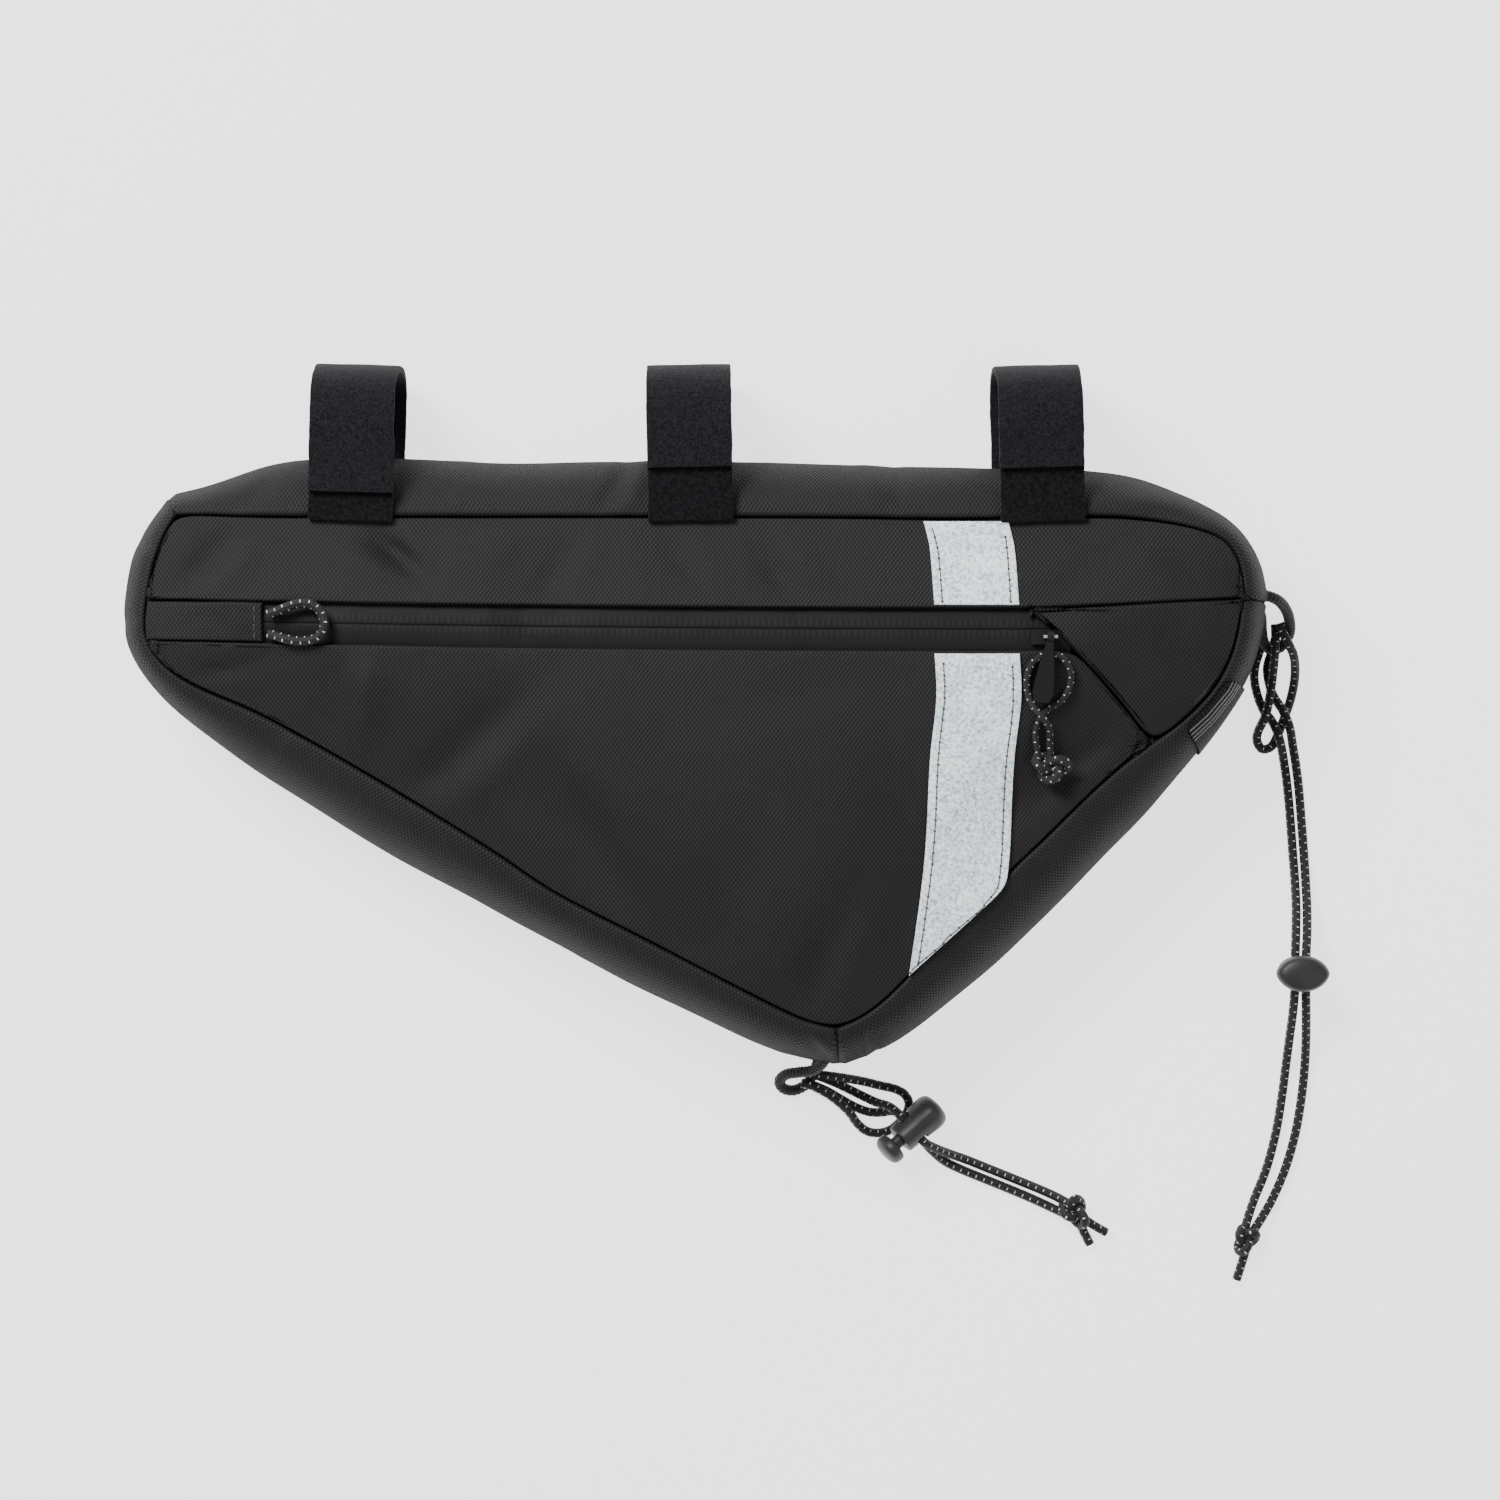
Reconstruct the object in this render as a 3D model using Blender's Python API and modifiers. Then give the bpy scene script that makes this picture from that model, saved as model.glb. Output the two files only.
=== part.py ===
"""A wedge-shaped bicycle frame bag, lying on its back panel.

Metres, +Z up. +X runs to the bag's blunt end and +Y to the straps. The origin is on the floor under
the middle of the bag.
"""

import math
from collections import namedtuple

import bmesh
import bpy
import numpy as np
from mathutils import Matrix, Vector

MM = 0.001
GAP = 0.0003

# Body of the bag
PANEL_LENGTH = 0.326
PANEL_HEIGHT = 0.152
SEAM_HEIGHT = 0.046
CROWN = 0.009
CROWN_REACH = 0.055
SWELL = 0.0185
CLOTH = 0.0016
SEAM_GAP = 0.0005
FOLD_FADE = 0.012
BACK_SHARE = 0.42
FOOT_SHARE = 0.69

# Zip
ZIP_DROP = 0.0309
ZIP_FALL = 0.00275
ZIP_WIDTH = 0.0121
ZIP_FILM = 0.0009
ZIP_LAP = 0.004
FILM_DROP = 0.0005
GARAGE_LENGTH = 0.0355

# Straps, tape and webbing
STRAP_WIDTH = 0.025
STRAP_THICK = 0.002
STRAP_REACH = 0.0467
TAPE_WIDTH = 0.025
TAPE_THICK = 0.0005
TAPE_LIFT = 0.0006
KEEPER_WIDTH = 0.0195
KEEPER_THICK = 0.0012
KEEPER_LIFT = 0.0007

# Slider and puller
SLIDER_LENGTH = 0.0054
SLIDER_WIDTH = 0.0044
SLIDER_PLATE = 0.001
NECK_WIDTH = 0.0014
BRIDGE_LENGTH = 0.0042
BRIDGE_RISE = 0.0036
BRIDGE_BAR = 0.0009
EYE_RADIUS = 0.0017
EYE_HOLE = 0.001
EYE_LENGTH = 0.0019
PULLER_LENGTH = 0.0195
PULLER_WIDTH = 0.0062
PULLER_THICK = 0.0011

# Cords
SHOCK_CORD = 0.0028
PULL_CORD = 0.002
ANCHOR_CORD = 0.0034

# Cord locks
LOCK_LENGTH = 0.0156
LOCK_WIDTH = 0.016
LOCK_DEPTH = 0.011
LOCK_SLOT_AT = 0.0106
LOCK_SLOT_WIDTH = 0.0079
LOCK_SLOT_HEIGHT = 0.004
BUTTON_TRAVEL = 0.002
BUTTON_LENGTH = 0.0044
BUTTON_CLEARANCE = 0.0004

TOP_SEAM_Y = (PANEL_HEIGHT + 0.69 * SWELL - STRAP_REACH) / 2.0

# The front seam, clockwise from the top left corner. along and up are shares of the panel's length and
# height, from its middle and its top seam. swell is how far the side wall stands out past the seam.
RimRow = namedtuple("RimRow", "along up swell")
RIM = [
    RimRow(-0.472, 0.003, 0.43),
    RimRow(-0.445, 0.003, 0.57),
    RimRow(-0.405, 0.000, 0.86),
    RimRow(-0.362, -0.001, 1.02),
    RimRow(-0.276, -0.001, 1.02),
    RimRow(-0.181, -0.001, 0.94),
    RimRow(-0.049, -0.001, 0.99),
    RimRow(0.114, -0.002, 0.94),
    RimRow(0.242, -0.005, 0.90),
    RimRow(0.362, -0.001, 0.81),
    RimRow(0.405, -0.005, 0.75),
    RimRow(0.451, -0.020, 0.52),
    RimRow(0.484, -0.044, 0.40),
    RimRow(0.495, -0.080, 0.43),
    RimRow(0.498, -0.135, 0.52),
    RimRow(0.495, -0.205, 0.51),
    RimRow(0.488, -0.272, 0.50),
    RimRow(0.472, -0.336, 0.48),
    RimRow(0.440, -0.405, 0.63),
    RimRow(0.381, -0.497, 0.92),
    RimRow(0.303, -0.658, 0.99),
    RimRow(0.236, -0.794, 1.01),
    RimRow(0.186, -0.914, 0.81),
    RimRow(0.155, -0.972, 0.72),
    RimRow(0.128, -0.998, 0.69),
    RimRow(0.100, -0.984, 0.68),
    RimRow(0.054, -0.936, 0.75),
    RimRow(-0.038, -0.833, 0.81),
    RimRow(-0.131, -0.730, 0.80),
    RimRow(-0.177, -0.662, 0.90),
    RimRow(-0.262, -0.549, 1.00),
    RimRow(-0.343, -0.447, 0.97),
    RimRow(-0.401, -0.380, 0.87),
    RimRow(-0.461, -0.326, 0.56),
    RimRow(-0.489, -0.279, 0.44),
    RimRow(-0.501, -0.217, 0.47),
    RimRow(-0.491, -0.086, 0.50),
    RimRow(-0.482, -0.034, 0.44),
]
RIM_STEPS = 8

# The side wall's section, from the front seam round to the back seam.
SectionRow = namedtuple("SectionRow", "out height")
SECTION = [
    SectionRow(0.00, 1.000),
    SectionRow(0.34, 0.982),
    SectionRow(0.68, 0.875),
    SectionRow(0.93, 0.680),
    SectionRow(1.00, 0.450),
    SectionRow(0.92, 0.220),
    SectionRow(0.64, 0.010),
    SectionRow(BACK_SHARE, 0.000),
]

# Dents and folds of the front. angle is anticlockwise from +X, the sizes are shares of the panel's
# height, and rise is a share of the crown.
FoldRow = namedtuple("FoldRow", "along up angle length width rise")
FOLDS = [
    FoldRow(-0.275, -0.065, -40, 0.090, 0.040, -0.20),
    FoldRow(-0.440, -0.110, 55, 0.100, 0.035, -0.14),
    FoldRow(-0.132, -0.130, 60, 0.120, 0.045, -0.20),
    FoldRow(-0.010, -0.090, -50, 0.080, 0.035, -0.12),
    FoldRow(0.078, -0.120, -60, 0.090, 0.035, -0.14),
    FoldRow(-0.304, -0.330, 85, 0.130, 0.050, 0.20),
    FoldRow(-0.212, -0.450, 42, 0.190, 0.050, -0.26),
    FoldRow(-0.100, -0.610, 125, 0.220, 0.070, -0.18),
    FoldRow(0.040, -0.560, 100, 0.260, 0.090, 0.12),
    FoldRow(0.310, -0.520, 48, 0.260, 0.060, -0.26),
    FoldRow(0.160, -0.840, 70, 0.120, 0.060, -0.20),
]

# The slanting edge of the corner panel, from the zip down to the front seam.
SlantRow = namedtuple("SlantRow", "along up")
SLANT = [
    SlantRow(0.3022, -0.1810),
    SlantRow(0.3285, -0.2340),
    SlantRow(0.3730, -0.3330),
    SlantRow(0.4150, -0.4447),
]

# The reflective band's left edge; its right edge is a tape's width away.
TapeRow = namedtuple("TapeRow", "along up")
TAPE_UPPER = [TapeRow(0.207, -0.017), TapeRow(0.212, -0.050), TapeRow(0.216, -0.178)]
TAPE_LOWER = [
    TapeRow(0.216, -0.266),
    TapeRow(0.218, -0.360),
    TapeRow(0.212, -0.470),
    TapeRow(0.209, -0.640),
    TapeRow(0.204, -0.745),
    TapeRow(0.194, -0.895),
]
TAPE_RIGHT_END = -0.722

# Straps: where each stands on the top seam, how it leans, and where its free end stops.
StrapRow = namedtuple("StrapRow", "name along lean flap_end")
STRAPS = [
    StrapRow("left", -0.3126, -1.5, 0.15),
    StrapRow("middle", -0.0040, 1.0, 0.31),
    StrapRow("right", 0.3153, 1.5, 0.31),
]

# A strap's path past the top seam: out is a share of its reach, up of the seam's height.
LoopRow = namedtuple("LoopRow", "out up")
STRAP_LOOP = [
    LoopRow(0.60, 0.028),
    LoopRow(0.85, 0.045),
    LoopRow(0.955, 0.200),
    LoopRow(0.975, 0.500),
    LoopRow(0.945, 0.820),
    LoopRow(0.830, 1.040),
    LoopRow(0.600, 1.110),
]

# Routes of the free cords, in millimetres from the origin, chosen from where they lie.
ANCHOR_RIGHT_ROUTE = [
    (174.3, 35.2, 21.5), (177.6, 33.0, 17.6), (180.4, 29.6, 12.9), (180.8, 25.4, 8.6),
    (178.4, 21.6, 5.8), (174.8, 20.2, 5.3), (172.3, 22.4, 6.4), (172.0, 26.0, 10.0),
    (172.9, 30.2, 15.2),
]
ANCHOR_BOTTOM_ROUTE = [
    (43.8, -107.3, 21.0), (39.2, -107.9, 16.5), (33.4, -106.8, 12.0), (28.4, -106.4, 9.0),
    (25.4, -108.9, 6.0), (26.2, -112.4, 3.2), (29.8, -113.8, 1.9), (33.6, -111.8, 1.8),
    (35.8, -108.2, 1.8), (36.8, -105.0, 1.9),
]
RIGHT_LOOP_ROUTE = [
    (175.4, 27.8, 8.8), (175.5, 24.4, 9.2), (175.4, 20.4, 9.3), (175.2, 15.6, 7.2),
    (174.9, 11.1, 5.4), (174.2, 6.2, 5.2), (173.3, 1.8, 5.6), (172.3, -1.2, 5.0),
    (171.0, -4.2, 3.2), (170.6, -7.2, 1.7), (172.2, -9.9, 1.5), (175.2, -9.0, 1.5),
    (177.4, -4.6, 1.5), (179.2, 0.2, 1.5), (180.8, 4.8, 1.5), (181.9, 9.9, 1.8),
    (182.0, 14.6, 4.2), (181.1, 18.6, 8.0), (179.2, 22.2, 10.6), (177.5, 25.4, 11.3),
    (176.4, 28.2, 11.6),
]
RIGHT_OUTER_ROUTE = [
    (176.4, 24.4, 1.7), (175.0, 19.4, 1.5), (173.8, 14.8, 1.5), (174.4, 9.9, 1.5),
    (175.9, 5.9, 1.8), (177.8, 2.6, 4.0), (179.3, -0.6, 5.2), (180.5, -4.2, 4.8),
    (181.4, -8.6, 2.6), (182.4, -13.9, 1.5), (183.3, -20.9, 1.5), (184.0, -29.1, 1.5),
    (184.9, -41.0, 1.5), (185.4, -50.0, 2.4), (185.4, -58.4, 6.0), (185.0, -65.6, 9.8),
    (184.5, -71.8, 11.9), (184.4, -77.6, 12.2), (184.4, -83.4, 11.9), (184.7, -89.6, 9.8),
    (185.1, -96.8, 6.0), (185.2, -105.2, 2.4), (184.3, -115.5, 1.5), (182.4, -126.8, 1.5),
    (179.2, -138.0, 1.5), (174.9, -147.8, 1.8), (170.5, -154.9, 3.2),
]
RIGHT_INNER_ROUTE = [
    (172.9, 24.4, 1.7), (171.4, 19.6, 1.5), (170.1, 15.2, 1.5), (169.9, 10.8, 1.5),
    (171.0, 5.9, 1.5), (172.7, 1.8, 1.5), (174.6, -0.6, 2.2), (175.8, -3.0, 4.2),
    (176.8, -5.8, 5.2), (177.8, -9.2, 4.2), (178.7, -13.2, 2.2), (179.7, -19.7, 1.5),
    (180.6, -28.7, 1.5), (181.5, -41.0, 1.5), (182.1, -50.0, 2.4), (182.1, -58.4, 6.0),
    (181.6, -65.6, 9.8), (181.2, -71.8, 11.9), (181.1, -77.6, 12.2), (181.0, -83.4, 11.9),
    (180.7, -89.6, 9.8), (180.2, -96.8, 6.0), (179.5, -105.2, 2.4), (178.3, -115.5, 1.5),
    (176.4, -126.8, 1.5), (173.5, -137.8, 1.5), (169.8, -147.0, 1.8), (167.5, -153.4, 3.1),
]
BOTTOM_LOOP_ROUTE = [
    (31.6, -111.3, 8.4), (35.2, -112.1, 8.4), (40.2, -114.8, 8.0), (44.4, -118.2, 6.8),
    (46.9, -121.0, 4.8), (48.8, -123.8, 2.8), (51.6, -126.2, 1.6), (55.1, -126.9, 1.5),
    (58.8, -126.0, 1.5), (61.8, -123.6, 1.5), (64.0, -120.6, 1.5), (64.6, -117.6, 1.5),
    (63.2, -115.0, 1.5), (60.2, -113.4, 1.5), (55.8, -112.4, 1.6), (50.3, -111.0, 2.6),
    (44.6, -109.8, 5.6), (39.8, -109.0, 7.8), (36.0, -108.6, 8.5), (33.2, -108.5, 8.6),
]
BOTTOM_OUTER_ROUTE = [
    (32.6, -108.3, 5.3), (36.4, -109.1, 5.3), (41.1, -110.9, 4.4), (45.8, -113.2, 2.4),
    (50.4, -115.5, 2.4), (54.6, -117.3, 4.8), (58.6, -118.4, 9.0), (62.1, -121.2, 11.7),
    (65.3, -124.9, 12.0), (68.7, -128.7, 11.5), (72.6, -131.0, 8.6), (76.8, -132.9, 5.0),
    (82.2, -135.0, 2.0), (88.6, -137.6, 1.5), (98.0, -141.4, 1.5), (105.6, -144.5, 1.9),
    (110.2, -146.6, 3.0),
]
BOTTOM_INNER_ROUTE = [
    (32.0, -111.3, 5.1), (35.6, -112.2, 5.1), (39.6, -113.9, 4.6), (43.8, -116.4, 3.4),
    (48.2, -118.9, 2.2), (52.6, -120.4, 2.8), (56.6, -120.4, 3.8), (59.8, -119.9, 6.2),
    (62.3, -121.6, 8.2), (65.3, -124.9, 8.4), (68.4, -128.4, 8.3), (71.0, -131.4, 6.0), (75.2, -135.2, 2.6),
    (80.4, -137.9, 1.5), (87.2, -140.7, 1.5), (96.8, -144.6, 1.5), (103.8, -147.6, 1.9),
    (109.3, -150.1, 3.2),
]
# The pull cord and the stop cord lie on the front, so their third number is the height of their
# middle over it.
PULL_ROUTE = [
    (100.4, -8.2, 2.0), (100.2, -5.0, 1.4), (101.4, -0.9, 1.6), (104.0, 2.0, 1.5),
    (108.0, 4.6, 1.4), (110.3, 9.0, 1.4), (110.2, 13.6, 1.4), (107.6, 17.2, 1.4),
    (103.6, 18.0, 1.4), (99.6, 15.8, 1.4), (97.6, 11.4, 1.4), (97.8, 6.4, 1.5),
    (99.6, 2.2, 3.0), (102.2, -0.8, 4.2), (104.2, -4.0, 3.2), (104.4, -8.2, 2.4),
]
STOP_ROUTE = [
    (-125.6, 29.9, 0.1), (-123.0, 30.6, 0.8), (-120.2, 31.8, 1.8), (-116.4, 32.9, 1.9),
    (-112.9, 32.6, 1.9), (-110.0, 30.4, 1.9), (-108.8, 27.2, 1.9), (-109.6, 24.2, 1.9),
    (-112.2, 22.3, 1.9), (-116.4, 21.8, 1.9), (-120.2, 22.4, 1.8), (-123.0, 23.3, 0.8),
    (-125.6, 24.0, 0.1),
]

# Where the locks and knots lie: a lock's slot, how far its button end is tipped from straight up and
# the way it points, a knot's middle, size and tails.
LockRow = namedtuple("LockRow", "side slot turn tilt")
LOCKS = [
    LockRow("right", (182.75, -77.6, 12.2), 0.0, 180.0),
    LockRow("bottom", (65.3, -124.9, 10.2), 222.0, 80.0),
]
KnotRow = namedtuple("KnotRow", "side middle size turn tails")
KNOTS = [
    KnotRow("right", (166.9, -158.9, 4.9), (8.6, 11.2, 8.6), -24.0, [(164.4, -172.0, 1.7)]),
    KnotRow("bottom", (114.9, -150.4, 5.2), (9.6, 12.6, 9.2), 32.0,
            [(125.0, -157.4, 1.7), (120.0, -161.3, 1.7)]),
]
PULL_KNOT_MIDDLE = (104.8, -15.2, 4.6)
PULL_KNOT_SIZE = (13.4, 10.4, 7.4)


# Setting up

def clear_scene():
    for item in list(bpy.data.objects):
        bpy.data.objects.remove(item, do_unlink=True)


def new_collection(name):
    collection = bpy.data.collections.new(name)
    bpy.context.scene.collection.children.link(collection)
    return collection


def finish(name, colour, roughness, metallic=0.0):
    material = bpy.data.materials.new(name)
    material.use_nodes = True
    shader = material.node_tree.nodes["Principled BSDF"]
    shader.inputs["Base Color"].default_value = (*colour, 1.0)
    shader.inputs["Roughness"].default_value = roughness
    shader.inputs["Metallic"].default_value = metallic
    material.diffuse_color = (*colour, 1.0)
    return material


def place(name, mesh, material):
    """A new object of the bag, at the origin."""
    item = bpy.data.objects.new(name, mesh)
    mesh.materials.append(material)
    bag.objects.link(item)
    return item


def mesh_from(name, builder):
    mesh = bpy.data.meshes.new(name)
    builder.to_mesh(mesh)
    builder.free()
    return mesh


# Curves and the rim

def smooth(points, steps, closed=False):
    """Points along a smooth curve through the given ones, with this many steps from each to the next."""
    points = [Vector(p) for p in points]
    count = len(points)
    curve = []
    for i in range(count if closed else count - 1):
        near = [points[(i + k) % count] if closed else points[min(max(i + k, 0), count - 1)]
                for k in (-1, 0, 1, 2)]
        for step in range(steps):
            t = step / steps
            curve.append(0.5 * (2.0 * near[1] + (near[2] - near[0]) * t
                                + (2.0 * near[0] - 5.0 * near[1] + 4.0 * near[2] - near[3]) * t ** 2
                                + (3.0 * near[1] - near[0] - 3.0 * near[2] + near[3]) * t ** 3))
    if not closed:
        curve.append(points[-1])
    return curve


def spaced(points, count):
    """The given number of points, evenly spaced by length along a line of points."""
    reach = [0.0]
    for a, b in zip(points, points[1:]):
        reach.append(reach[-1] + (b - a).length)
    result = []
    for i in range(count):
        wanted = reach[-1] * i / (count - 1)
        k = min(max(int(np.searchsorted(reach, wanted)), 1), len(points) - 1)
        share = (wanted - reach[k - 1]) / max(reach[k] - reach[k - 1], 1e-9)
        result.append(points[k - 1].lerp(points[k], share))
    return result


def on_panel(along, up):
    """The place on the floor plan of a point given in shares of the front panel."""
    return Vector((along * PANEL_LENGTH, TOP_SEAM_Y + up * PANEL_HEIGHT))


def make_rim():
    rows = [(*on_panel(r.along, r.up), r.swell * SWELL) for r in RIM]
    return smooth(rows, RIM_STEPS, closed=True)


RIM_POINTS = make_rim()
RIM_PLAN = np.array([(p.x, p.y) for p in RIM_POINTS])
RIM_NEXT = np.roll(RIM_PLAN, -1, axis=0)
RIM_REACH = np.concatenate([[0.0], np.cumsum(np.linalg.norm(RIM_NEXT - RIM_PLAN, axis=1))])
RIM_LENGTH = float(RIM_REACH[-1])
NORMAL_SPAN = 0.004


def rim_sample(distance):
    """x, y and swell of the rim at a distance along it."""
    distance %= RIM_LENGTH
    k = min(int(np.searchsorted(RIM_REACH, distance, side="right")) - 1, len(RIM_POINTS) - 1)
    share = (distance - RIM_REACH[k]) / (RIM_REACH[k + 1] - RIM_REACH[k])
    return RIM_POINTS[k].lerp(RIM_POINTS[(k + 1) % len(RIM_POINTS)], share)


def rim_normal(distance):
    along = rim_sample(distance + NORMAL_SPAN) - rim_sample(distance - NORMAL_SPAN)
    return Vector((-along.y, along.x)).normalized()


def rim_out(distance, out):
    """The floor plan's point this far outside the front seam."""
    return rim_sample(distance).xy + rim_normal(distance) * out


def rim_crossing(axis, value, start, end):
    """Where the rim crosses x or y = value, between two shares of its length."""
    steps = 4000
    places = [RIM_LENGTH * (start + (end - start) * i / steps) for i in range(steps + 1)]
    side = [rim_sample(s)[axis] - value for s in places]
    for a, b, low, high in zip(places, places[1:], side, side[1:]):
        if low == 0.0 or low * high < 0.0:
            return a + (b - a) * abs(low) / (abs(low) + abs(high))
    raise ValueError("the rim doesn't cross that line")


def inset(x, y):
    """How far inside the front seam a point of the floor plan lies."""
    point = np.array((x, y))
    span = RIM_NEXT - RIM_PLAN
    share = np.clip(((point - RIM_PLAN) * span).sum(axis=1) / (span * span).sum(axis=1), 0.0, 1.0)
    return float(np.linalg.norm(RIM_PLAN + span * share[:, None] - point, axis=1).min())


def front_height(point):
    """Height over the floor of the front's outer face."""
    depth = inset(point[0], point[1])
    rise = CROWN * (1.0 - (1.0 - min(depth / CROWN_REACH, 1.0)) ** 2)
    fade = min(depth / FOLD_FADE, 1.0)
    fade = fade * fade * (3.0 - 2.0 * fade)
    for fold in FOLDS:
        middle = on_panel(fold.along, fold.up)
        angle = math.radians(fold.angle)
        across = Vector(point[:2]) - middle
        u = (across.x * math.cos(angle) + across.y * math.sin(angle)) / (fold.length * PANEL_HEIGHT)
        v = (across.y * math.cos(angle) - across.x * math.sin(angle)) / (fold.width * PANEL_HEIGHT)
        rise += fade * fold.rise * CROWN * math.exp(-u * u - v * v)
    return SEAM_HEIGHT + rise


# Zip lines

ZIP_LEFT = -PANEL_LENGTH / 2.0
ZIP_RIGHT = SLANT[0].along * PANEL_LENGTH


def zip_line(x, side):
    """The zip's upper edge, middle or lower edge at x, for a side of 1, 0 or -1."""
    share = min((x - ZIP_LEFT) / (ZIP_RIGHT - ZIP_LEFT), 1.0)
    middle = TOP_SEAM_Y - ZIP_DROP - ZIP_FALL * (1.0 - (1.0 - share) ** 2)
    return Vector((x, middle + side * ZIP_WIDTH / 2.0))


SLANT_CURVE = smooth([on_panel(r.along, r.up) for r in SLANT], 6)
SLANT_CURVE[0] = zip_line(ZIP_RIGHT, 1)
RIGHT_SEAM = rim_crossing(1, SLANT_CURVE[0].y + 0.0032, 0.38, 0.55)
SLANT_FOOT = rim_crossing(1, SLANT_CURVE[-1].y, 0.38, 0.6)
SLANT_CURVE[-1] = rim_sample(SLANT_FOOT).xy
LOWEST = rim_crossing(0, RIM[24].along * PANEL_LENGTH, 0.5, 0.75)
LEFT_LOW = rim_crossing(1, zip_line(ZIP_LEFT, -1).y, 0.8, 1.0)
LEFT_HIGH = rim_crossing(1, zip_line(ZIP_LEFT, 1).y, 0.8, 1.0)


def stations(start, end, count):
    return [start + (end - start) * i / count for i in range(count + 1)]


TOP_STATIONS = stations(0.0, RIGHT_SEAM, 36)
END_STATIONS = stations(RIGHT_SEAM, SLANT_FOOT, 6)
RIGHT_STATIONS = stations(SLANT_FOOT, LOWEST, 15)
LEFT_STATIONS = stations(LOWEST, LEFT_LOW, 26)
STOP_STATIONS = stations(LEFT_LOW, LEFT_HIGH, 2)
CORNER_STATIONS = stations(LEFT_HIGH, RIM_LENGTH, 4)


# Cloth pieces

def shell(name, outer, inner, material):
    """A closed wall between two grids of points, both given as rows of equal length."""
    builder = bmesh.new()
    front = [[builder.verts.new(p) for p in row] for row in outer]
    back = [[builder.verts.new(p) for p in row] for row in inner]
    rows, columns = len(front), len(front[0])
    for i in range(rows - 1):
        for j in range(columns - 1):
            for grid in (front, back):
                builder.faces.new((grid[i][j], grid[i][j + 1], grid[i + 1][j + 1], grid[i + 1][j]))
    for i in range(rows - 1):
        for j in (0, columns - 1):
            builder.faces.new((front[i][j], front[i + 1][j], back[i + 1][j], back[i][j]))
    for j in range(columns - 1):
        for i in (0, rows - 1):
            builder.faces.new((front[i][j], front[i][j + 1], back[i][j + 1], back[i][j]))
    bmesh.ops.recalc_face_normals(builder, faces=builder.faces[:])
    if builder.calc_volume(signed=True) < 0.0:
        bmesh.ops.reverse_faces(builder, faces=builder.faces[:])
    item = place(name, mesh_from(name, builder), material)
    item.data.shade_smooth()
    item.data.set_sharp_from_angle(angle=math.radians(50))
    return item


def front_sheet(name, near, far, rows, material, thick=CLOTH, lift=0.0):
    """Cloth laid on the bag's front, ruled between two edges of equally many points."""
    outer = []
    for i in range(rows + 1):
        line = [a.lerp(b, i / rows) for a, b in zip(near, far)]
        outer.append([(*p, front_height(p) + lift) for p in line])
    inner = [[(x, y, z - thick) for x, y, z in row] for row in outer]
    return shell(name, outer, inner, material)


def matched(line, model, upright=0.15):
    """Points along a line that keep step with a model edge, counting its level stretches most."""
    weights = [0.0]
    for a, b in zip(model, model[1:]):
        weights.append(weights[-1] + abs(b.x - a.x) + upright * abs(b.y - a.y))
    fine = spaced(line, 400)
    reach = [0.0]
    for a, b in zip(fine, fine[1:]):
        reach.append(reach[-1] + abs(b.x - a.x) + upright * abs(b.y - a.y))
    result = []
    for weight in weights:
        wanted = reach[-1] * weight / weights[-1]
        k = min(max(int(np.searchsorted(reach, wanted)), 1), len(fine) - 1)
        result.append(fine[k - 1].lerp(fine[k], (wanted - reach[k - 1]) / (reach[k] - reach[k - 1])))
    return result


def shifted(line, distance):
    """A line moved sideways by this distance, to the left of its own direction."""
    moved = []
    for i, p in enumerate(line):
        along = line[min(i + 1, len(line) - 1)] - line[max(i - 1, 0)]
        moved.append(p + Vector((-along.y, along.x)).normalized() * distance)
    return moved


def zip_edge(start, end, side, count=60):
    return [zip_line(start + (end - start) * i / count, side) for i in range(count + 1)]


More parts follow.
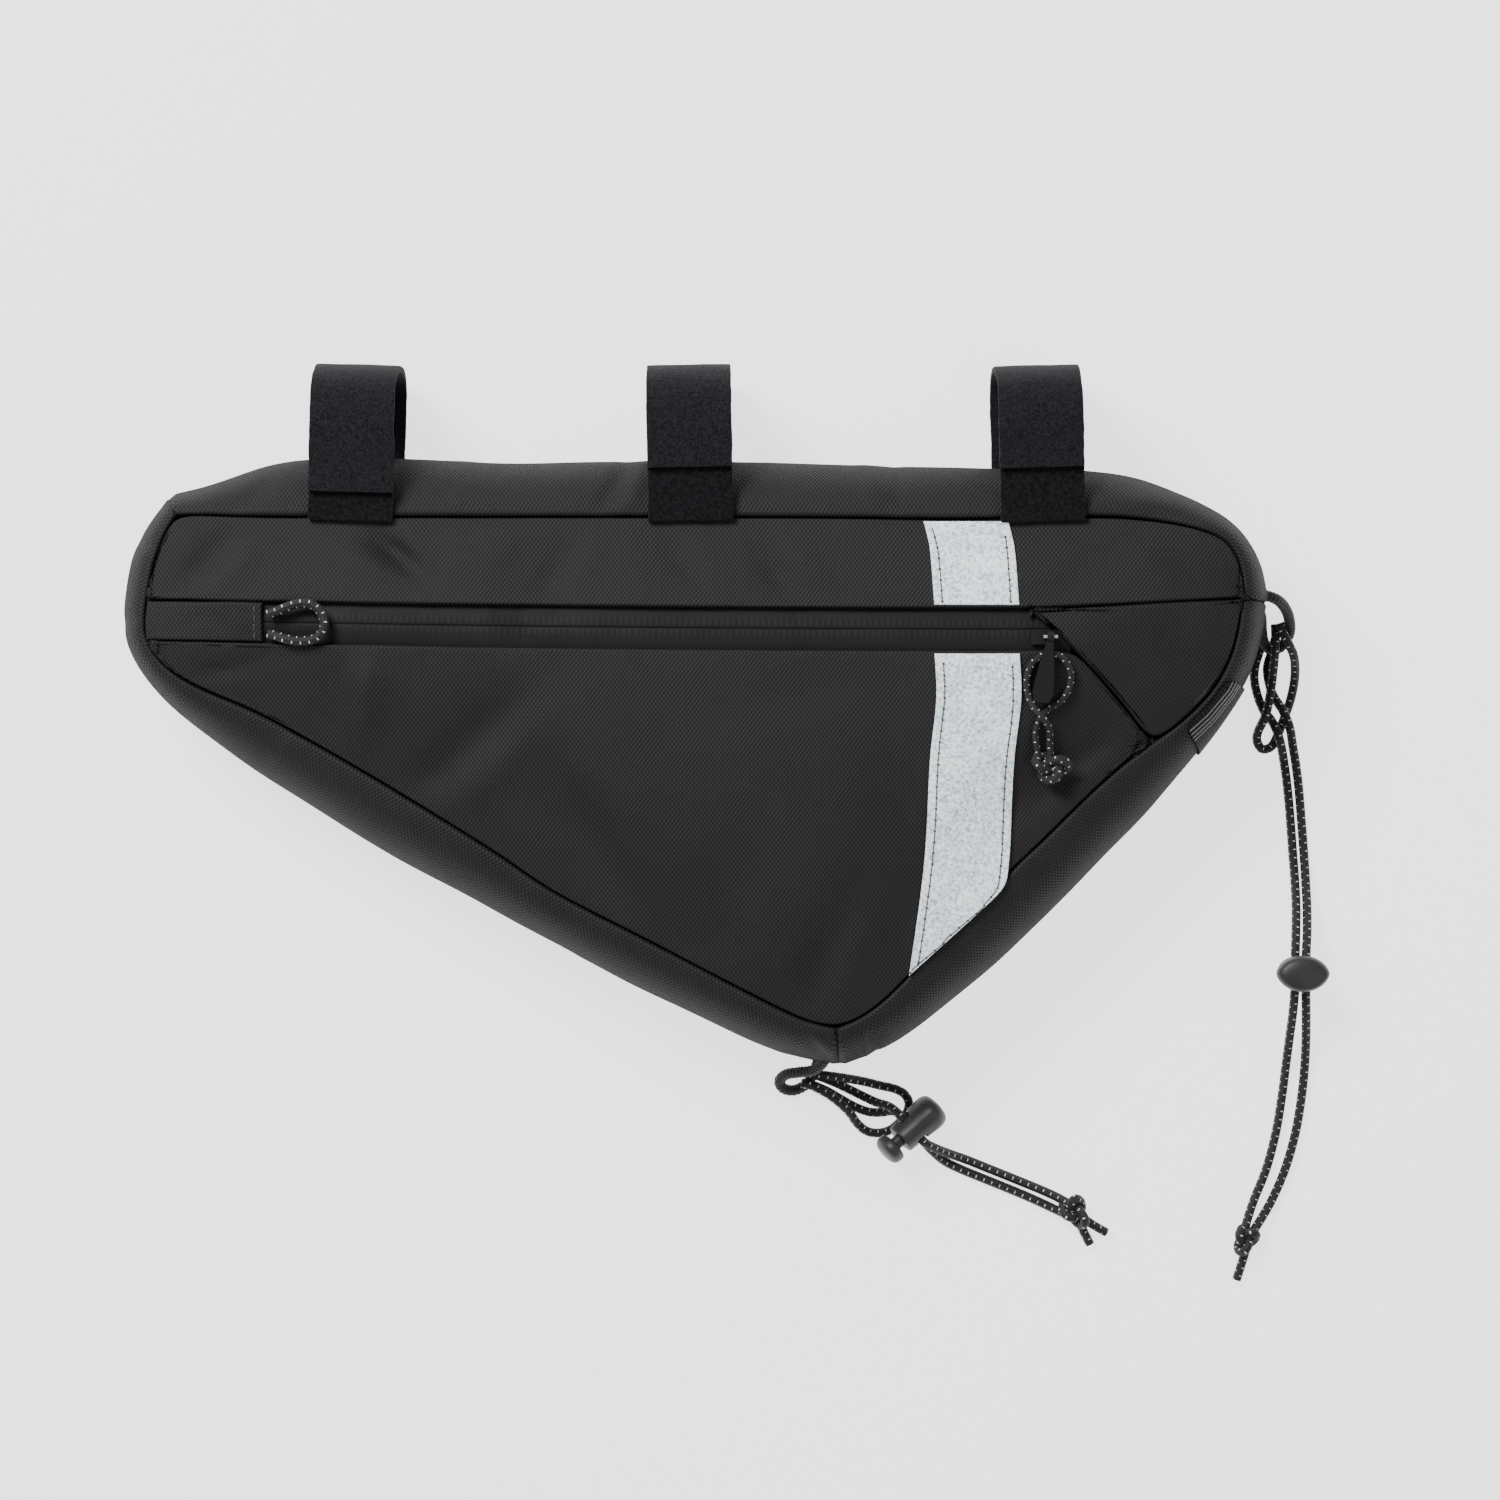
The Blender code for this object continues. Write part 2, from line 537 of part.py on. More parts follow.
def build_front():
    edge = SEAM_GAP / 2.0
    upper_rim = [rim_out(s, -edge) for s in CORNER_STATIONS[:-1] + TOP_STATIONS]
    slant = SLANT_CURVE
    right_seam = [slant[0], rim_out(RIGHT_SEAM, -edge)]
    upper_line = zip_edge(rim_sample(LEFT_HIGH).x + edge, ZIP_RIGHT, 1) + right_seam[1:]
    upper_foot = matched(shifted(upper_line, edge), upper_rim)
    front_sheet("front_upper_panel", upper_foot, upper_rim, 4, cloth)

    lower_rim = [rim_out(s, -edge) for s in (RIGHT_STATIONS[:-1] + LEFT_STATIONS)[::-1]]
    turn = next(i for i, p in enumerate(slant) if p.y < zip_line(p.x, -1).y)
    lower_line = zip_edge(rim_sample(LEFT_LOW).x + edge, slant[turn].x, -1) + slant[turn + 1:]
    lower_head = matched(shifted(lower_line, -edge), lower_rim)
    front_sheet("front_lower_panel", lower_head, lower_rim, 7, cloth)

    corner_low = spaced(slant, 7)[:-1] + [rim_sample(s).xy for s in END_STATIONS[::-1]]
    corner_low = [p + Vector((edge, edge * 0.6)) for p in corner_low[:7]] + [
        rim_out(s, -edge) for s in END_STATIONS[-2::-1]]
    corner_high = matched(shifted(right_seam, -edge), corner_low)
    corner_low[0] = corner_high[0] + Vector((0.0, -0.0004))
    corner_low[-1] = corner_high[-1] + Vector((0.0, -0.0004))
    front_sheet("corner_panel", corner_low, corner_high, 5, cloth)

    stop_rim = [rim_out(s, -edge) for s in STOP_STATIONS]
    stop_rim[0] += Vector((0.0, edge))
    stop_rim[-1] -= Vector((0.0, edge))
    garage_x = ZIP_LEFT + GARAGE_LENGTH
    garage_end = [zip_line(garage_x, side) - Vector((0.0, side * edge)) for side in (-1, 0, 1)]
    front_sheet("zip_garage", stop_rim, garage_end, 4, cloth)

    film_drop = -CLOTH - FILM_DROP
    start = garage_x - ZIP_LAP
    end = ZIP_RIGHT + ZIP_WIDTH
    lap = Vector((0.0, ZIP_LAP))
    seam = Vector((0.0, GAP / 2.0))
    middle = zip_edge(start, end, 0, 24)
    for name, way in (("zip_tape_upper", 1), ("zip_tape_lower", -1)):
        outer = [p + lap * way for p in zip_edge(start, end, way, 24)]
        inner = [p + seam * way for p in middle]
        front_sheet(name, inner, outer, 1, film, thick=ZIP_FILM, lift=film_drop)


def side_point(distance, out, height, proud=0.0, aside=0.0):
    """A point of the side wall's section, moved out from the wall by a distance."""
    base = rim_sample(distance)
    normal = rim_normal(distance)
    plan = base.xy + normal * (out * base.z + aside)
    return Vector((plan.x, plan.y, height * front_height(base.xy)))


def side_section(distance, proud=0.0, rows=SECTION):
    """The side wall's section at one place, moved square to itself by a distance."""
    points = [side_point(distance, r.out, r.height) for r in rows]
    points[0] += Vector((*rim_normal(distance), 0.0)) * SEAM_GAP / 2.0
    points[-1] += Vector((*rim_normal(distance), 0.0)) * SEAM_GAP / 2.0
    normal = Vector((*rim_normal(distance), 0.0))
    moved = []
    for i, p in enumerate(points):
        along = points[min(i + 1, len(points) - 1)] - points[max(i - 1, 0)]
        flat = along.dot(normal)
        square = (normal * -along.z + Vector((0.0, 0.0, flat))).normalized()
        if i in (0, len(points) - 1):
            square = Vector((0.0, 0.0, 1.0 if i == 0 else -1.0))
        moved.append(p + square * proud)
    return moved


def build_sides():
    legs = (
        ("gusset_top", TOP_STATIONS),
        ("gusset_right", END_STATIONS[:-1] + RIGHT_STATIONS),
        ("gusset_left", LEFT_STATIONS[:-1] + STOP_STATIONS[:-1] + CORNER_STATIONS),
    )
    for name, places in legs:
        places = [places[0] + GAP / 2.0] + places[1:-1] + [places[-1] - GAP / 2.0]
        outer = [side_section(s) for s in places]
        inner = [side_section(s, -CLOTH) for s in places]
        shell(name, outer, inner, cloth)


def build_back():
    """The back panel: a flat outline inside the side wall's lower seam."""
    places = (TOP_STATIONS[:-1] + END_STATIONS[:-1] + RIGHT_STATIONS[:-1] + LEFT_STATIONS[:-1]
              + STOP_STATIONS[:-1] + CORNER_STATIONS[:-1])
    curve = bpy.data.curves.new("back_panel", "CURVE")
    curve.dimensions = "2D"
    curve.fill_mode = "BOTH"
    curve.extrude = CLOTH / 2.0
    spline = curve.splines.new("POLY")
    spline.points.add(len(places) - 1)
    for point, s in zip(spline.points, places):
        plan = rim_out(s, rim_sample(s).z * BACK_SHARE - SEAM_GAP / 2.0)
        point.co = (plan.x, plan.y, 0.0, 1.0)
    spline.use_cyclic_u = True
    outline = bpy.data.objects.new("back_panel_outline", curve)
    bag.objects.link(outline)
    item = from_curve("back_panel", outline, cloth)
    item.location.z = CLOTH / 2.0


def from_curve(name, outline, material):
    """A mesh object made from a curve object, with its caps welded on."""
    bpy.context.view_layer.update()
    seen = outline.evaluated_get(bpy.context.evaluated_depsgraph_get())
    mesh = bpy.data.meshes.new_from_object(seen)
    builder = bmesh.new()
    builder.from_mesh(mesh)
    bmesh.ops.remove_doubles(builder, verts=builder.verts[:], dist=0.00001)
    bmesh.ops.recalc_face_normals(builder, faces=builder.faces[:])
    builder.to_mesh(mesh)
    builder.free()
    mesh.name = name
    bpy.data.objects.remove(outline, do_unlink=True)
    mesh.materials.clear()
    return place(name, mesh, material)


# Trim

def strip(name, left, right, thick, material):
    """A flat woven strip between two edges, thickened about its middle."""
    builder = bmesh.new()
    rows = [(builder.verts.new(a), builder.verts.new(b)) for a, b in zip(left, right)]
    for a, b in zip(rows, rows[1:]):
        builder.faces.new((a[0], a[1], b[1], b[0]))
    item = place(name, mesh_from(name, builder), material)
    solid = item.modifiers.new("thickness", "SOLIDIFY")
    solid.thickness = thick
    solid.offset = 0.0
    solid.use_even_offset = True
    return item


def band(name, path, middle, lean, material):
    """A strap's width laid along a path of (distance past the top seam, height)."""
    half = STRAP_WIDTH / 2.0
    swing = Matrix.Rotation(math.radians(lean), 3, "Z")
    edges = []
    for side in (-half, half):
        edges.append([middle + swing @ Vector((side, out, 0.0)) + Vector((0.0, 0.0, up))
                      for out, up in path])
    return strip(name, edges[0], edges[1], STRAP_THICK, material)


def build_straps():
    for row in STRAPS:
        foot = on_panel(row.along, 0.0)
        distance = rim_crossing(0, foot.x, 0.0, 0.4)
        seam = rim_sample(distance)
        middle = Vector((foot.x, seam.y, 0.0))
        lie = SEAM_HEIGHT + GAP + STRAP_THICK / 2.0
        tab = [(-0.0014, lie + 0.0006), (0.004, lie + 0.0003), (0.012, lie + 0.0002), (0.024, lie + 0.0006)]
        band(f"tab_{row.name}", tab, middle, row.lean, hook)
        sides = [rim_sample(distance + side * STRAP_WIDTH / 2.0) for side in (-1.0, 0.0, 1.0)]
        start = max(p.y + p.z * FOOT_SHARE for p in sides) - seam.y + 2.0 * GAP
        loop = [(r.out * STRAP_REACH, r.up * SEAM_HEIGHT) for r in STRAP_LOOP]
        over = lie + STRAP_THICK + 2.0 * GAP
        end = row.flap_end * STRAP_REACH
        flap = [(end + (loop[-1][0] - end) * share, over + 0.0012 * share) for share in (0.6, 0.3, 0.0)]
        low = STRAP_THICK / 2.0 + GAP / 2.0
        route = [(start, low), (0.42 * STRAP_REACH, low)] + loop + flap
        path = [(p.x, p.y) for p in spaced(smooth(route, 6), 24)]
        band(f"strap_{row.name}", path, middle, row.lean, loop_cloth)


def build_tape():
    width = Vector((TAPE_WIDTH, 0.0))
    left = [on_panel(r.along, r.up) for r in TAPE_UPPER]
    left[-1] = zip_line(left[-1].x, 1) + Vector((0.0, 0.0012))
    right = [p + width for p in left]
    right[-1] = zip_line(right[-1].x, 1) + Vector((0.0, 0.0012))
    lines = [spaced(smooth(edge, 4), 6) for edge in (left, right)]
    front_sheet("tape_upper", lines[0], lines[1], 4, reflective, thick=TAPE_THICK,
                lift=TAPE_THICK + TAPE_LIFT)

    left = [on_panel(r.along, r.up) for r in TAPE_LOWER]
    left[0] = zip_line(left[0].x, -1) - Vector((0.0, 0.0012))
    right = [p + width for p in left if p.y > on_panel(0.0, TAPE_RIGHT_END).y]
    right[0] = zip_line(right[0].x, -1) - Vector((0.0, 0.0012))
    right.append(Vector((right[-1].x - 0.0012, on_panel(0.0, TAPE_RIGHT_END).y)))
    lines = [spaced(smooth(edge, 4), 15) for edge in (left, right)]
    front_sheet("tape_lower", lines[0], lines[1], 4, reflective, thick=TAPE_THICK,
                lift=TAPE_THICK + TAPE_LIFT)


def build_keeper():
    """A short webbing sewn across the right side wall."""
    middle = (END_STATIONS[4] + END_STATIONS[5]) / 2.0
    places = [middle + KEEPER_WIDTH * share for share in (-0.5, -0.25, 0.0, 0.25, 0.5)]
    rows = SECTION[1:6]
    outer = [side_section(s, KEEPER_LIFT + KEEPER_THICK, rows) for s in places]
    inner = [side_section(s, KEEPER_LIFT, rows) for s in places]
    shell("webbing_keeper", outer, inner, webbing)


# Cords

def tube(name, points, diameter, material):
    """A round cord along a smooth line of points."""
    curve = bpy.data.curves.new(name, "CURVE")
    curve.dimensions = "3D"
    curve.bevel_depth = diameter / 2.0
    curve.bevel_resolution = 2
    curve.use_fill_caps = True
    spline = curve.splines.new("POLY")
    spline.points.add(len(points) - 1)
    for point, place_at in zip(spline.points, points):
        point.co = (*place_at, 1.0)
    curve.materials.append(material)
    item = bpy.data.objects.new(name, curve)
    bag.objects.link(item)
    return item


def cord_points(route, spacing):
    line = smooth([Vector(p) * MM for p in route], 8)
    length = sum((b - a).length for a, b in zip(line, line[1:]))
    return spaced(line, max(int(round(length / spacing)), 4) + 1)


def laid(route):
    """A route on the bag's front, from heights over it."""
    return [(x, y, z + front_height((x * MM, y * MM)) / MM) for x, y, z in route]


def build_cords():
    for name, route in (
        ("right_cord_outer", RIGHT_OUTER_ROUTE),
        ("right_cord_inner", RIGHT_INNER_ROUTE),
        ("bottom_cord_outer", BOTTOM_OUTER_ROUTE),
        ("bottom_cord_inner", BOTTOM_INNER_ROUTE),
    ):
        tube(name, cord_points(route, 2.5 * SHOCK_CORD), SHOCK_CORD, cord)
    for name, route in (("right_cord_loop", RIGHT_LOOP_ROUTE), ("bottom_cord_loop", BOTTOM_LOOP_ROUTE)):
        tube(name, cord_points(route, 2.1 * SHOCK_CORD), SHOCK_CORD, cord)
    for name, route in (("anchor_right", ANCHOR_RIGHT_ROUTE), ("anchor_bottom", ANCHOR_BOTTOM_ROUTE)):
        tube(name, cord_points(route, 1.2 * ANCHOR_CORD), ANCHOR_CORD, cord)
    tube("pull_cord", cord_points(laid(PULL_ROUTE), 2.0 * PULL_CORD), PULL_CORD, cord)
    tube("stop_cord", cord_points(laid(STOP_ROUTE), 1.4 * SHOCK_CORD), SHOCK_CORD, cord)


def ball(size, middle, turn):
    """A mesh ellipsoid of this size, in millimetres."""
    builder = bmesh.new()
    shape = (Matrix.Translation(Vector(middle) * MM) @ Matrix.Rotation(math.radians(turn), 4, "Z")
             @ Matrix.Diagonal((*(Vector(size) * MM / 2.0), 1.0)))
    bmesh.ops.create_uvsphere(builder, u_segments=12, v_segments=8, radius=1.0, matrix=shape)
    return builder


def build_knots():
    for row in KNOTS:
        item = place(f"{row.side}_knot", mesh_from(row.side, ball(row.size, row.middle, row.turn)), cord)
        for i, end in enumerate(row.tails):
            middle = Vector(row.middle)
            start = middle.lerp(Vector(end), 0.25)
            start.z = (middle.z + end[2]) / 2.0
            tail = tube(f"tail_{i}", [start * MM, Vector(end) * MM], SHOCK_CORD, cord)
            cutter = from_curve(f"{row.side}_tail_{i}", tail, cord)
            combine(item, cutter, "UNION")
    middle = Vector(laid([PULL_KNOT_MIDDLE])[0])
    place("pull_knot", mesh_from("pull_knot", ball(PULL_KNOT_SIZE, middle, -12.0)), cord)


def combine(item, other, operation):
    """Join another solid to an item, or cut it away, and put it with the cutters."""
    bag.objects.unlink(other)
    cutters.objects.link(other)
    other.hide_render = True
    other.display_type = "WIRE"
    step = item.modifiers.new(other.name, "BOOLEAN")
    step.operation = operation
    step.solver = "EXACT"
    step.object = other


# Locks

LockRing = namedtuple("LockRing", "at width depth")
BARREL_RINGS = [
    LockRing(0.00, 0.46, 0.50),
    LockRing(0.04, 0.80, 0.82),
    LockRing(0.14, 0.97, 0.98),
    LockRing(0.30, 1.00, 1.00),
    LockRing(0.62, 0.84, 0.90),
    LockRing(0.90, 0.78, 0.86),
    LockRing(1.00, 0.73, 0.82),
]
BUTTON_RINGS = [
    LockRing(0.00, 0.66, 0.72),
    LockRing(0.12, 0.76, 0.84),
    LockRing(0.62, 0.76, 0.84),
    LockRing(0.88, 0.60, 0.68),
    LockRing(1.00, 0.34, 0.38),
]
LOCK_SIDES = 16
STEM_WIDTH = 0.38
LENS = 1.25


def turned_oval(rings, length, start, sides=LOCK_SIDES):
    """A solid of oval rings up the press axis, each a lens a little pointed at its ends."""
    builder = bmesh.new()
    loops = []
    for ring in rings:
        loop = []
        for i in range(sides):
            angle = 2.0 * math.pi * i / sides
            across = math.cos(angle)
            deep = math.copysign(abs(math.sin(angle)) ** LENS, math.sin(angle))
            loop.append(builder.verts.new((across * ring.width * LOCK_WIDTH / 2.0,
                                           deep * ring.depth * LOCK_DEPTH / 2.0,
                                           start + ring.at * length)))
        loops.append(loop)
    for a, b in zip(loops, loops[1:]):
        for i in range(sides):
            builder.faces.new((a[i], a[(i + 1) % sides], b[(i + 1) % sides], b[i]))
    builder.faces.new(loops[0][::-1])
    builder.faces.new(loops[-1])
    bmesh.ops.recalc_face_normals(builder, faces=builder.faces[:])
    return builder


def block(name, size, middle):
    """A box of this size about a point, as an object of the bag."""
    builder = bmesh.new()
    bmesh.ops.create_cube(builder, size=1.0, matrix=Matrix.Translation(middle) @ Matrix.Diagonal((*size, 1.0)))
    return place(name, mesh_from(name, builder), plastic)


def rod(name, radius, length, middle, axis="Z"):
    """A cylinder about a point, along Z or X."""
    builder = bmesh.new()
    turn = Matrix.Rotation(math.pi / 2.0, 4, "Y") if axis == "X" else Matrix.Identity(4)
    bmesh.ops.create_cone(builder, cap_ends=True, segments=12, radius1=radius, radius2=radius,
                          depth=length, matrix=Matrix.Translation(middle) @ turn)
    return place(name, mesh_from(name, builder), plastic)


def build_locks():
    for row in LOCKS:
        stand = bpy.data.objects.new(f"{row.side}_lock", None)
        bag.objects.link(stand)
        turn = Matrix.Rotation(math.radians(row.turn), 4, "Z") @ Matrix.Rotation(
            math.radians(row.tilt), 4, "Y")
        slot = Vector(row.slot) * MM
        stand.matrix_world = Matrix.Translation(slot) @ turn @ Matrix.Translation((0, 0, -LOCK_SLOT_AT))
        barrel = place(f"{row.side}_lock_barrel",
                       mesh_from("barrel", turned_oval(BARREL_RINGS, LOCK_LENGTH, 0.0)), plastic)
        hole = block(f"{row.side}_lock_slot", (LOCK_SLOT_WIDTH, LOCK_DEPTH * 2.0, LOCK_SLOT_HEIGHT),
                     Vector((0.0, 0.0, LOCK_SLOT_AT)))
        combine(barrel, hole, "DIFFERENCE")
        stem_radius = STEM_WIDTH * LOCK_DEPTH / 2.0
        floor = LOCK_SLOT_AT + LOCK_SLOT_HEIGHT / 2.0 + GAP
        well = rod(f"{row.side}_lock_well", stem_radius + BUTTON_CLEARANCE, LOCK_LENGTH,
                   Vector((0.0, 0.0, floor + LOCK_LENGTH / 2.0)))
        combine(barrel, well, "DIFFERENCE")
        cap_at = LOCK_LENGTH + BUTTON_TRAVEL + BUTTON_CLEARANCE
        button = place(f"{row.side}_lock_button",
                       mesh_from("button", turned_oval(BUTTON_RINGS, BUTTON_LENGTH, cap_at)), plastic)
        stem_foot = floor + BUTTON_TRAVEL + BUTTON_CLEARANCE
        reach = cap_at + BUTTON_LENGTH / 2.0 - stem_foot
        stem = rod(f"{row.side}_lock_stem", stem_radius, reach, Vector((0.0, 0.0, stem_foot + reach / 2.0)))
        combine(button, stem, "UNION")
        for item in (barrel, button, hole, well, stem):
            item.parent = stand


# Slider and puller

SLIDER_X = 0.1015
BRIDGE_X = 0.1044
BRIDGE_BELOW = 0.0023
PULLER_LEAN = -8.0


def build_slider():
    """The slider's top plate on the zip, with the bridge that the puller hangs from."""
    middle = zip_line(BRIDGE_X, 0) - Vector((0.0, BRIDGE_BELOW))
    plate_z = front_height(middle) - CLOTH - FILM_DROP + 0.0005 + SLIDER_PLATE / 2.0
    plate = block("zip_slider", (SLIDER_LENGTH, SLIDER_WIDTH, SLIDER_PLATE),
                  Vector((SLIDER_X, middle.y, plate_z)))
    plate.data.materials.clear()
    plate.data.materials.append(metal)
    hinge = Vector((*middle, front_height(middle) + BRIDGE_RISE))
    rise = hinge.z - plate_z
    tip = BRIDGE_X + BRIDGE_LENGTH / 2.0
    neck = block("slider_neck", (tip - SLIDER_X, NECK_WIDTH, SLIDER_PLATE),
                 Vector(((SLIDER_X + tip) / 2.0, middle.y, plate_z)))
    combine(plate, neck, "UNION")
    for side in (-1, 1):
        post = block(f"slider_post_{side + 1}", (BRIDGE_BAR, BRIDGE_BAR, rise),
                     hinge + Vector((side * (BRIDGE_LENGTH - BRIDGE_BAR) / 2.0, 0.0, -rise / 2.0)))
        combine(plate, post, "UNION")
    bar = block("slider_bar", (BRIDGE_LENGTH, BRIDGE_BAR, BRIDGE_BAR), hinge)
    combine(plate, bar, "UNION")
    build_puller(hinge)


def build_puller(hinge):
    """The flat puller: an eye round the slider's bar and a blade that widens to its tip."""
    stand = bpy.data.objects.new("puller_hinge", None)
    bag.objects.link(stand)
    stand.location = hinge
    half = PULLER_WIDTH / 2.0
    outline = [(-EYE_LENGTH / 2.0, -EYE_RADIUS * 0.7), (EYE_LENGTH / 2.0, -EYE_RADIUS * 0.7),
               (half * 0.72, -PULLER_LENGTH * 0.45), (half, -PULLER_LENGTH * 0.86),
               (half * 0.7, -PULLER_LENGTH), (-half * 0.7, -PULLER_LENGTH),
               (-half, -PULLER_LENGTH * 0.86), (-half * 0.72, -PULLER_LENGTH * 0.45)]
    curve = bpy.data.curves.new("puller", "CURVE")
    curve.dimensions = "2D"
    curve.fill_mode = "BOTH"
    curve.extrude = PULLER_THICK / 2.0
    spline = curve.splines.new("POLY")
    spline.points.add(len(outline) - 1)
    lean = Matrix.Rotation(math.radians(PULLER_LEAN), 2)
    for point, corner in zip(spline.points, outline):
        point.co = (*(lean @ Vector(corner)), 0.0, 1.0)
    spline.use_cyclic_u = True
    blank = bpy.data.objects.new("puller_outline", curve)
    bag.objects.link(blank)
    puller = from_curve("zip_puller", blank, plastic)
    eye = rod("puller_eye", EYE_RADIUS, EYE_LENGTH, Vector((0.0, 0.0, 0.0)), "X")
    combine(puller, eye, "UNION")
    hole = rod("puller_hole", EYE_HOLE, EYE_LENGTH * 3.0, Vector((0.0, 0.0, 0.0)), "X")
    combine(puller, hole, "DIFFERENCE")
    for item in (puller, eye, hole):
        item.parent = stand


clear_scene()
bag = new_collection("frame_bag")
cutters = new_collection("cutters")
cloth = finish("coated_cloth", (0.035, 0.034, 0.036), 0.62)
film = finish("zip_film", (0.045, 0.045, 0.048), 0.5)
hook = finish("hook_tape", (0.012, 0.011, 0.013), 0.95)
loop_cloth = finish("loop_tape", (0.013, 0.012, 0.014), 1.0)
reflective = finish("reflective_tape", (0.70, 0.76, 0.82), 0.35)
webbing = finish("webbing", (0.02, 0.02, 0.022), 0.8)
cord = finish("shock_cord", (0.02, 0.02, 0.022), 0.75)
plastic = finish("moulded_plastic", (0.03, 0.03, 0.033), 0.45)
metal = finish("slider_metal", (0.55, 0.55, 0.56), 0.3, 1.0)

build_front()
build_sides()
build_back()
build_straps()
build_tape()
build_keeper()
build_cords()
build_knots()
build_locks()
build_slider()
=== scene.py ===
"""A wedge-shaped bicycle frame bag on a pale sweep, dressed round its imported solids."""

import math

import bmesh
import bpy
import numpy as np
from mathutils import Matrix, Vector, noise
from mathutils.bvhtree import BVHTree


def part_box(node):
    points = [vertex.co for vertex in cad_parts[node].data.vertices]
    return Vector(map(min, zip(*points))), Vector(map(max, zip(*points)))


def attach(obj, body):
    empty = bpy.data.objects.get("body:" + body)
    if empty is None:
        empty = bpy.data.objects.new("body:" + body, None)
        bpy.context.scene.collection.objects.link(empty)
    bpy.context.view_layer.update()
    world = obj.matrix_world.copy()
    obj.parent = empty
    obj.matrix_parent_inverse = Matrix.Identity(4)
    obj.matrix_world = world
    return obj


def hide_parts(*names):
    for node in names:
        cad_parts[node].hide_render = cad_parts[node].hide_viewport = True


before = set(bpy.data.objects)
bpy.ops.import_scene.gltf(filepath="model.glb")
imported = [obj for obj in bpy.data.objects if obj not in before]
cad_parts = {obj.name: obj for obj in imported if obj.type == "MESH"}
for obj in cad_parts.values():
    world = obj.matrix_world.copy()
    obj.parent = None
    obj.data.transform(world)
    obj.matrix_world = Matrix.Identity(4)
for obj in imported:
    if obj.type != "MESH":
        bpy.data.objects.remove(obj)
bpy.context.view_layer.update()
mm = 0.001


# The photograph. The bag lies on its back on a pale sweep, and the camera looks straight down
# from a metre and a half, a little right of and below the bag's middle.
camera_place = Vector((16.2, -10.2, 1500.0)) * mm
picture_width = 457.5 * mm
film_width = 36.0

lens = bpy.data.cameras.new("camera")
lens.sensor_width = film_width
lens.lens = film_width * camera_place.z / picture_width
lens.clip_start = 0.05
camera = bpy.data.objects.new("camera", lens)
camera.location = camera_place
bpy.context.scene.collection.objects.link(camera)
bpy.context.scene.camera = camera


# The elastic shock cords, 2.8 mm, braided black with a pale tracer thread. Each is hitched to the
# bag by its middle: a bight lies over its own two strands, which run through a lock to a knot.
elastic_width = 2.8 * mm
fleck_pitch = 2.55 * mm
braid_pitch = 1.5 * mm
right_bight_route = [
    (175.4, 27.8, 8.8), (175.5, 24.4, 9.2), (175.4, 20.4, 9.3), (175.2, 15.6, 7.2),
    (174.9, 11.1, 5.4), (174.2, 6.2, 5.2), (173.3, 1.8, 5.6), (172.3, -1.2, 5.0),
    (171.0, -4.2, 3.2), (170.6, -7.2, 1.7), (172.2, -9.9, 1.5), (175.2, -9.0, 1.5),
    (177.4, -4.6, 1.5), (179.2, 0.2, 1.5), (180.8, 4.8, 1.5), (181.9, 9.9, 1.8),
    (182.0, 14.6, 4.2), (181.1, 18.6, 8.0), (179.2, 22.2, 10.6), (177.5, 25.4, 11.3),
    (176.4, 28.2, 11.6),
]
right_outer_route = [
    (176.4, 24.4, 1.7), (175.0, 19.4, 1.5), (173.8, 14.8, 1.5), (174.4, 9.9, 1.5),
    (175.9, 5.9, 1.8), (177.8, 2.6, 4.0), (179.3, -0.6, 5.2), (180.5, -4.2, 4.8),
    (181.4, -8.6, 2.6), (182.4, -13.9, 1.5), (183.3, -20.9, 1.5), (184.0, -29.1, 1.5),
    (184.9, -41.0, 1.5), (185.4, -50.0, 2.4), (185.4, -58.4, 6.0), (185.0, -65.6, 9.8),
    (184.5, -71.8, 11.9), (184.4, -77.6, 12.2), (184.4, -83.4, 11.9), (184.7, -89.6, 9.8),
    (185.1, -96.8, 6.0), (185.2, -105.2, 2.4), (184.3, -115.5, 1.5), (182.4, -126.8, 1.5),
    (179.2, -138.0, 1.5), (174.9, -147.8, 1.8), (170.5, -154.9, 3.2), (168.0, -158.2, 4.6),
]
right_inner_route = [
    (172.9, 24.4, 1.7), (171.4, 19.6, 1.5), (170.1, 15.2, 1.5), (169.9, 10.8, 1.5),
    (171.0, 5.9, 1.5), (172.7, 1.8, 1.5), (174.6, -0.6, 2.2), (175.8, -3.0, 4.2),
    (176.8, -5.8, 5.2), (177.8, -9.2, 4.2), (178.7, -13.2, 2.2), (179.7, -19.7, 1.5),
    (180.6, -28.7, 1.5), (181.5, -41.0, 1.5), (182.1, -50.0, 2.4), (182.1, -58.4, 6.0),
    (181.6, -65.6, 9.8), (181.2, -71.8, 11.9), (181.1, -77.6, 12.2), (181.0, -83.4, 11.9),
    (180.7, -89.6, 9.8), (180.2, -96.8, 6.0), (179.5, -105.2, 2.4), (178.3, -115.5, 1.5),
    (176.4, -126.8, 1.5), (173.5, -137.8, 1.5), (169.8, -147.0, 1.8), (167.5, -153.4, 3.1),
    (166.4, -157.4, 4.6),
]
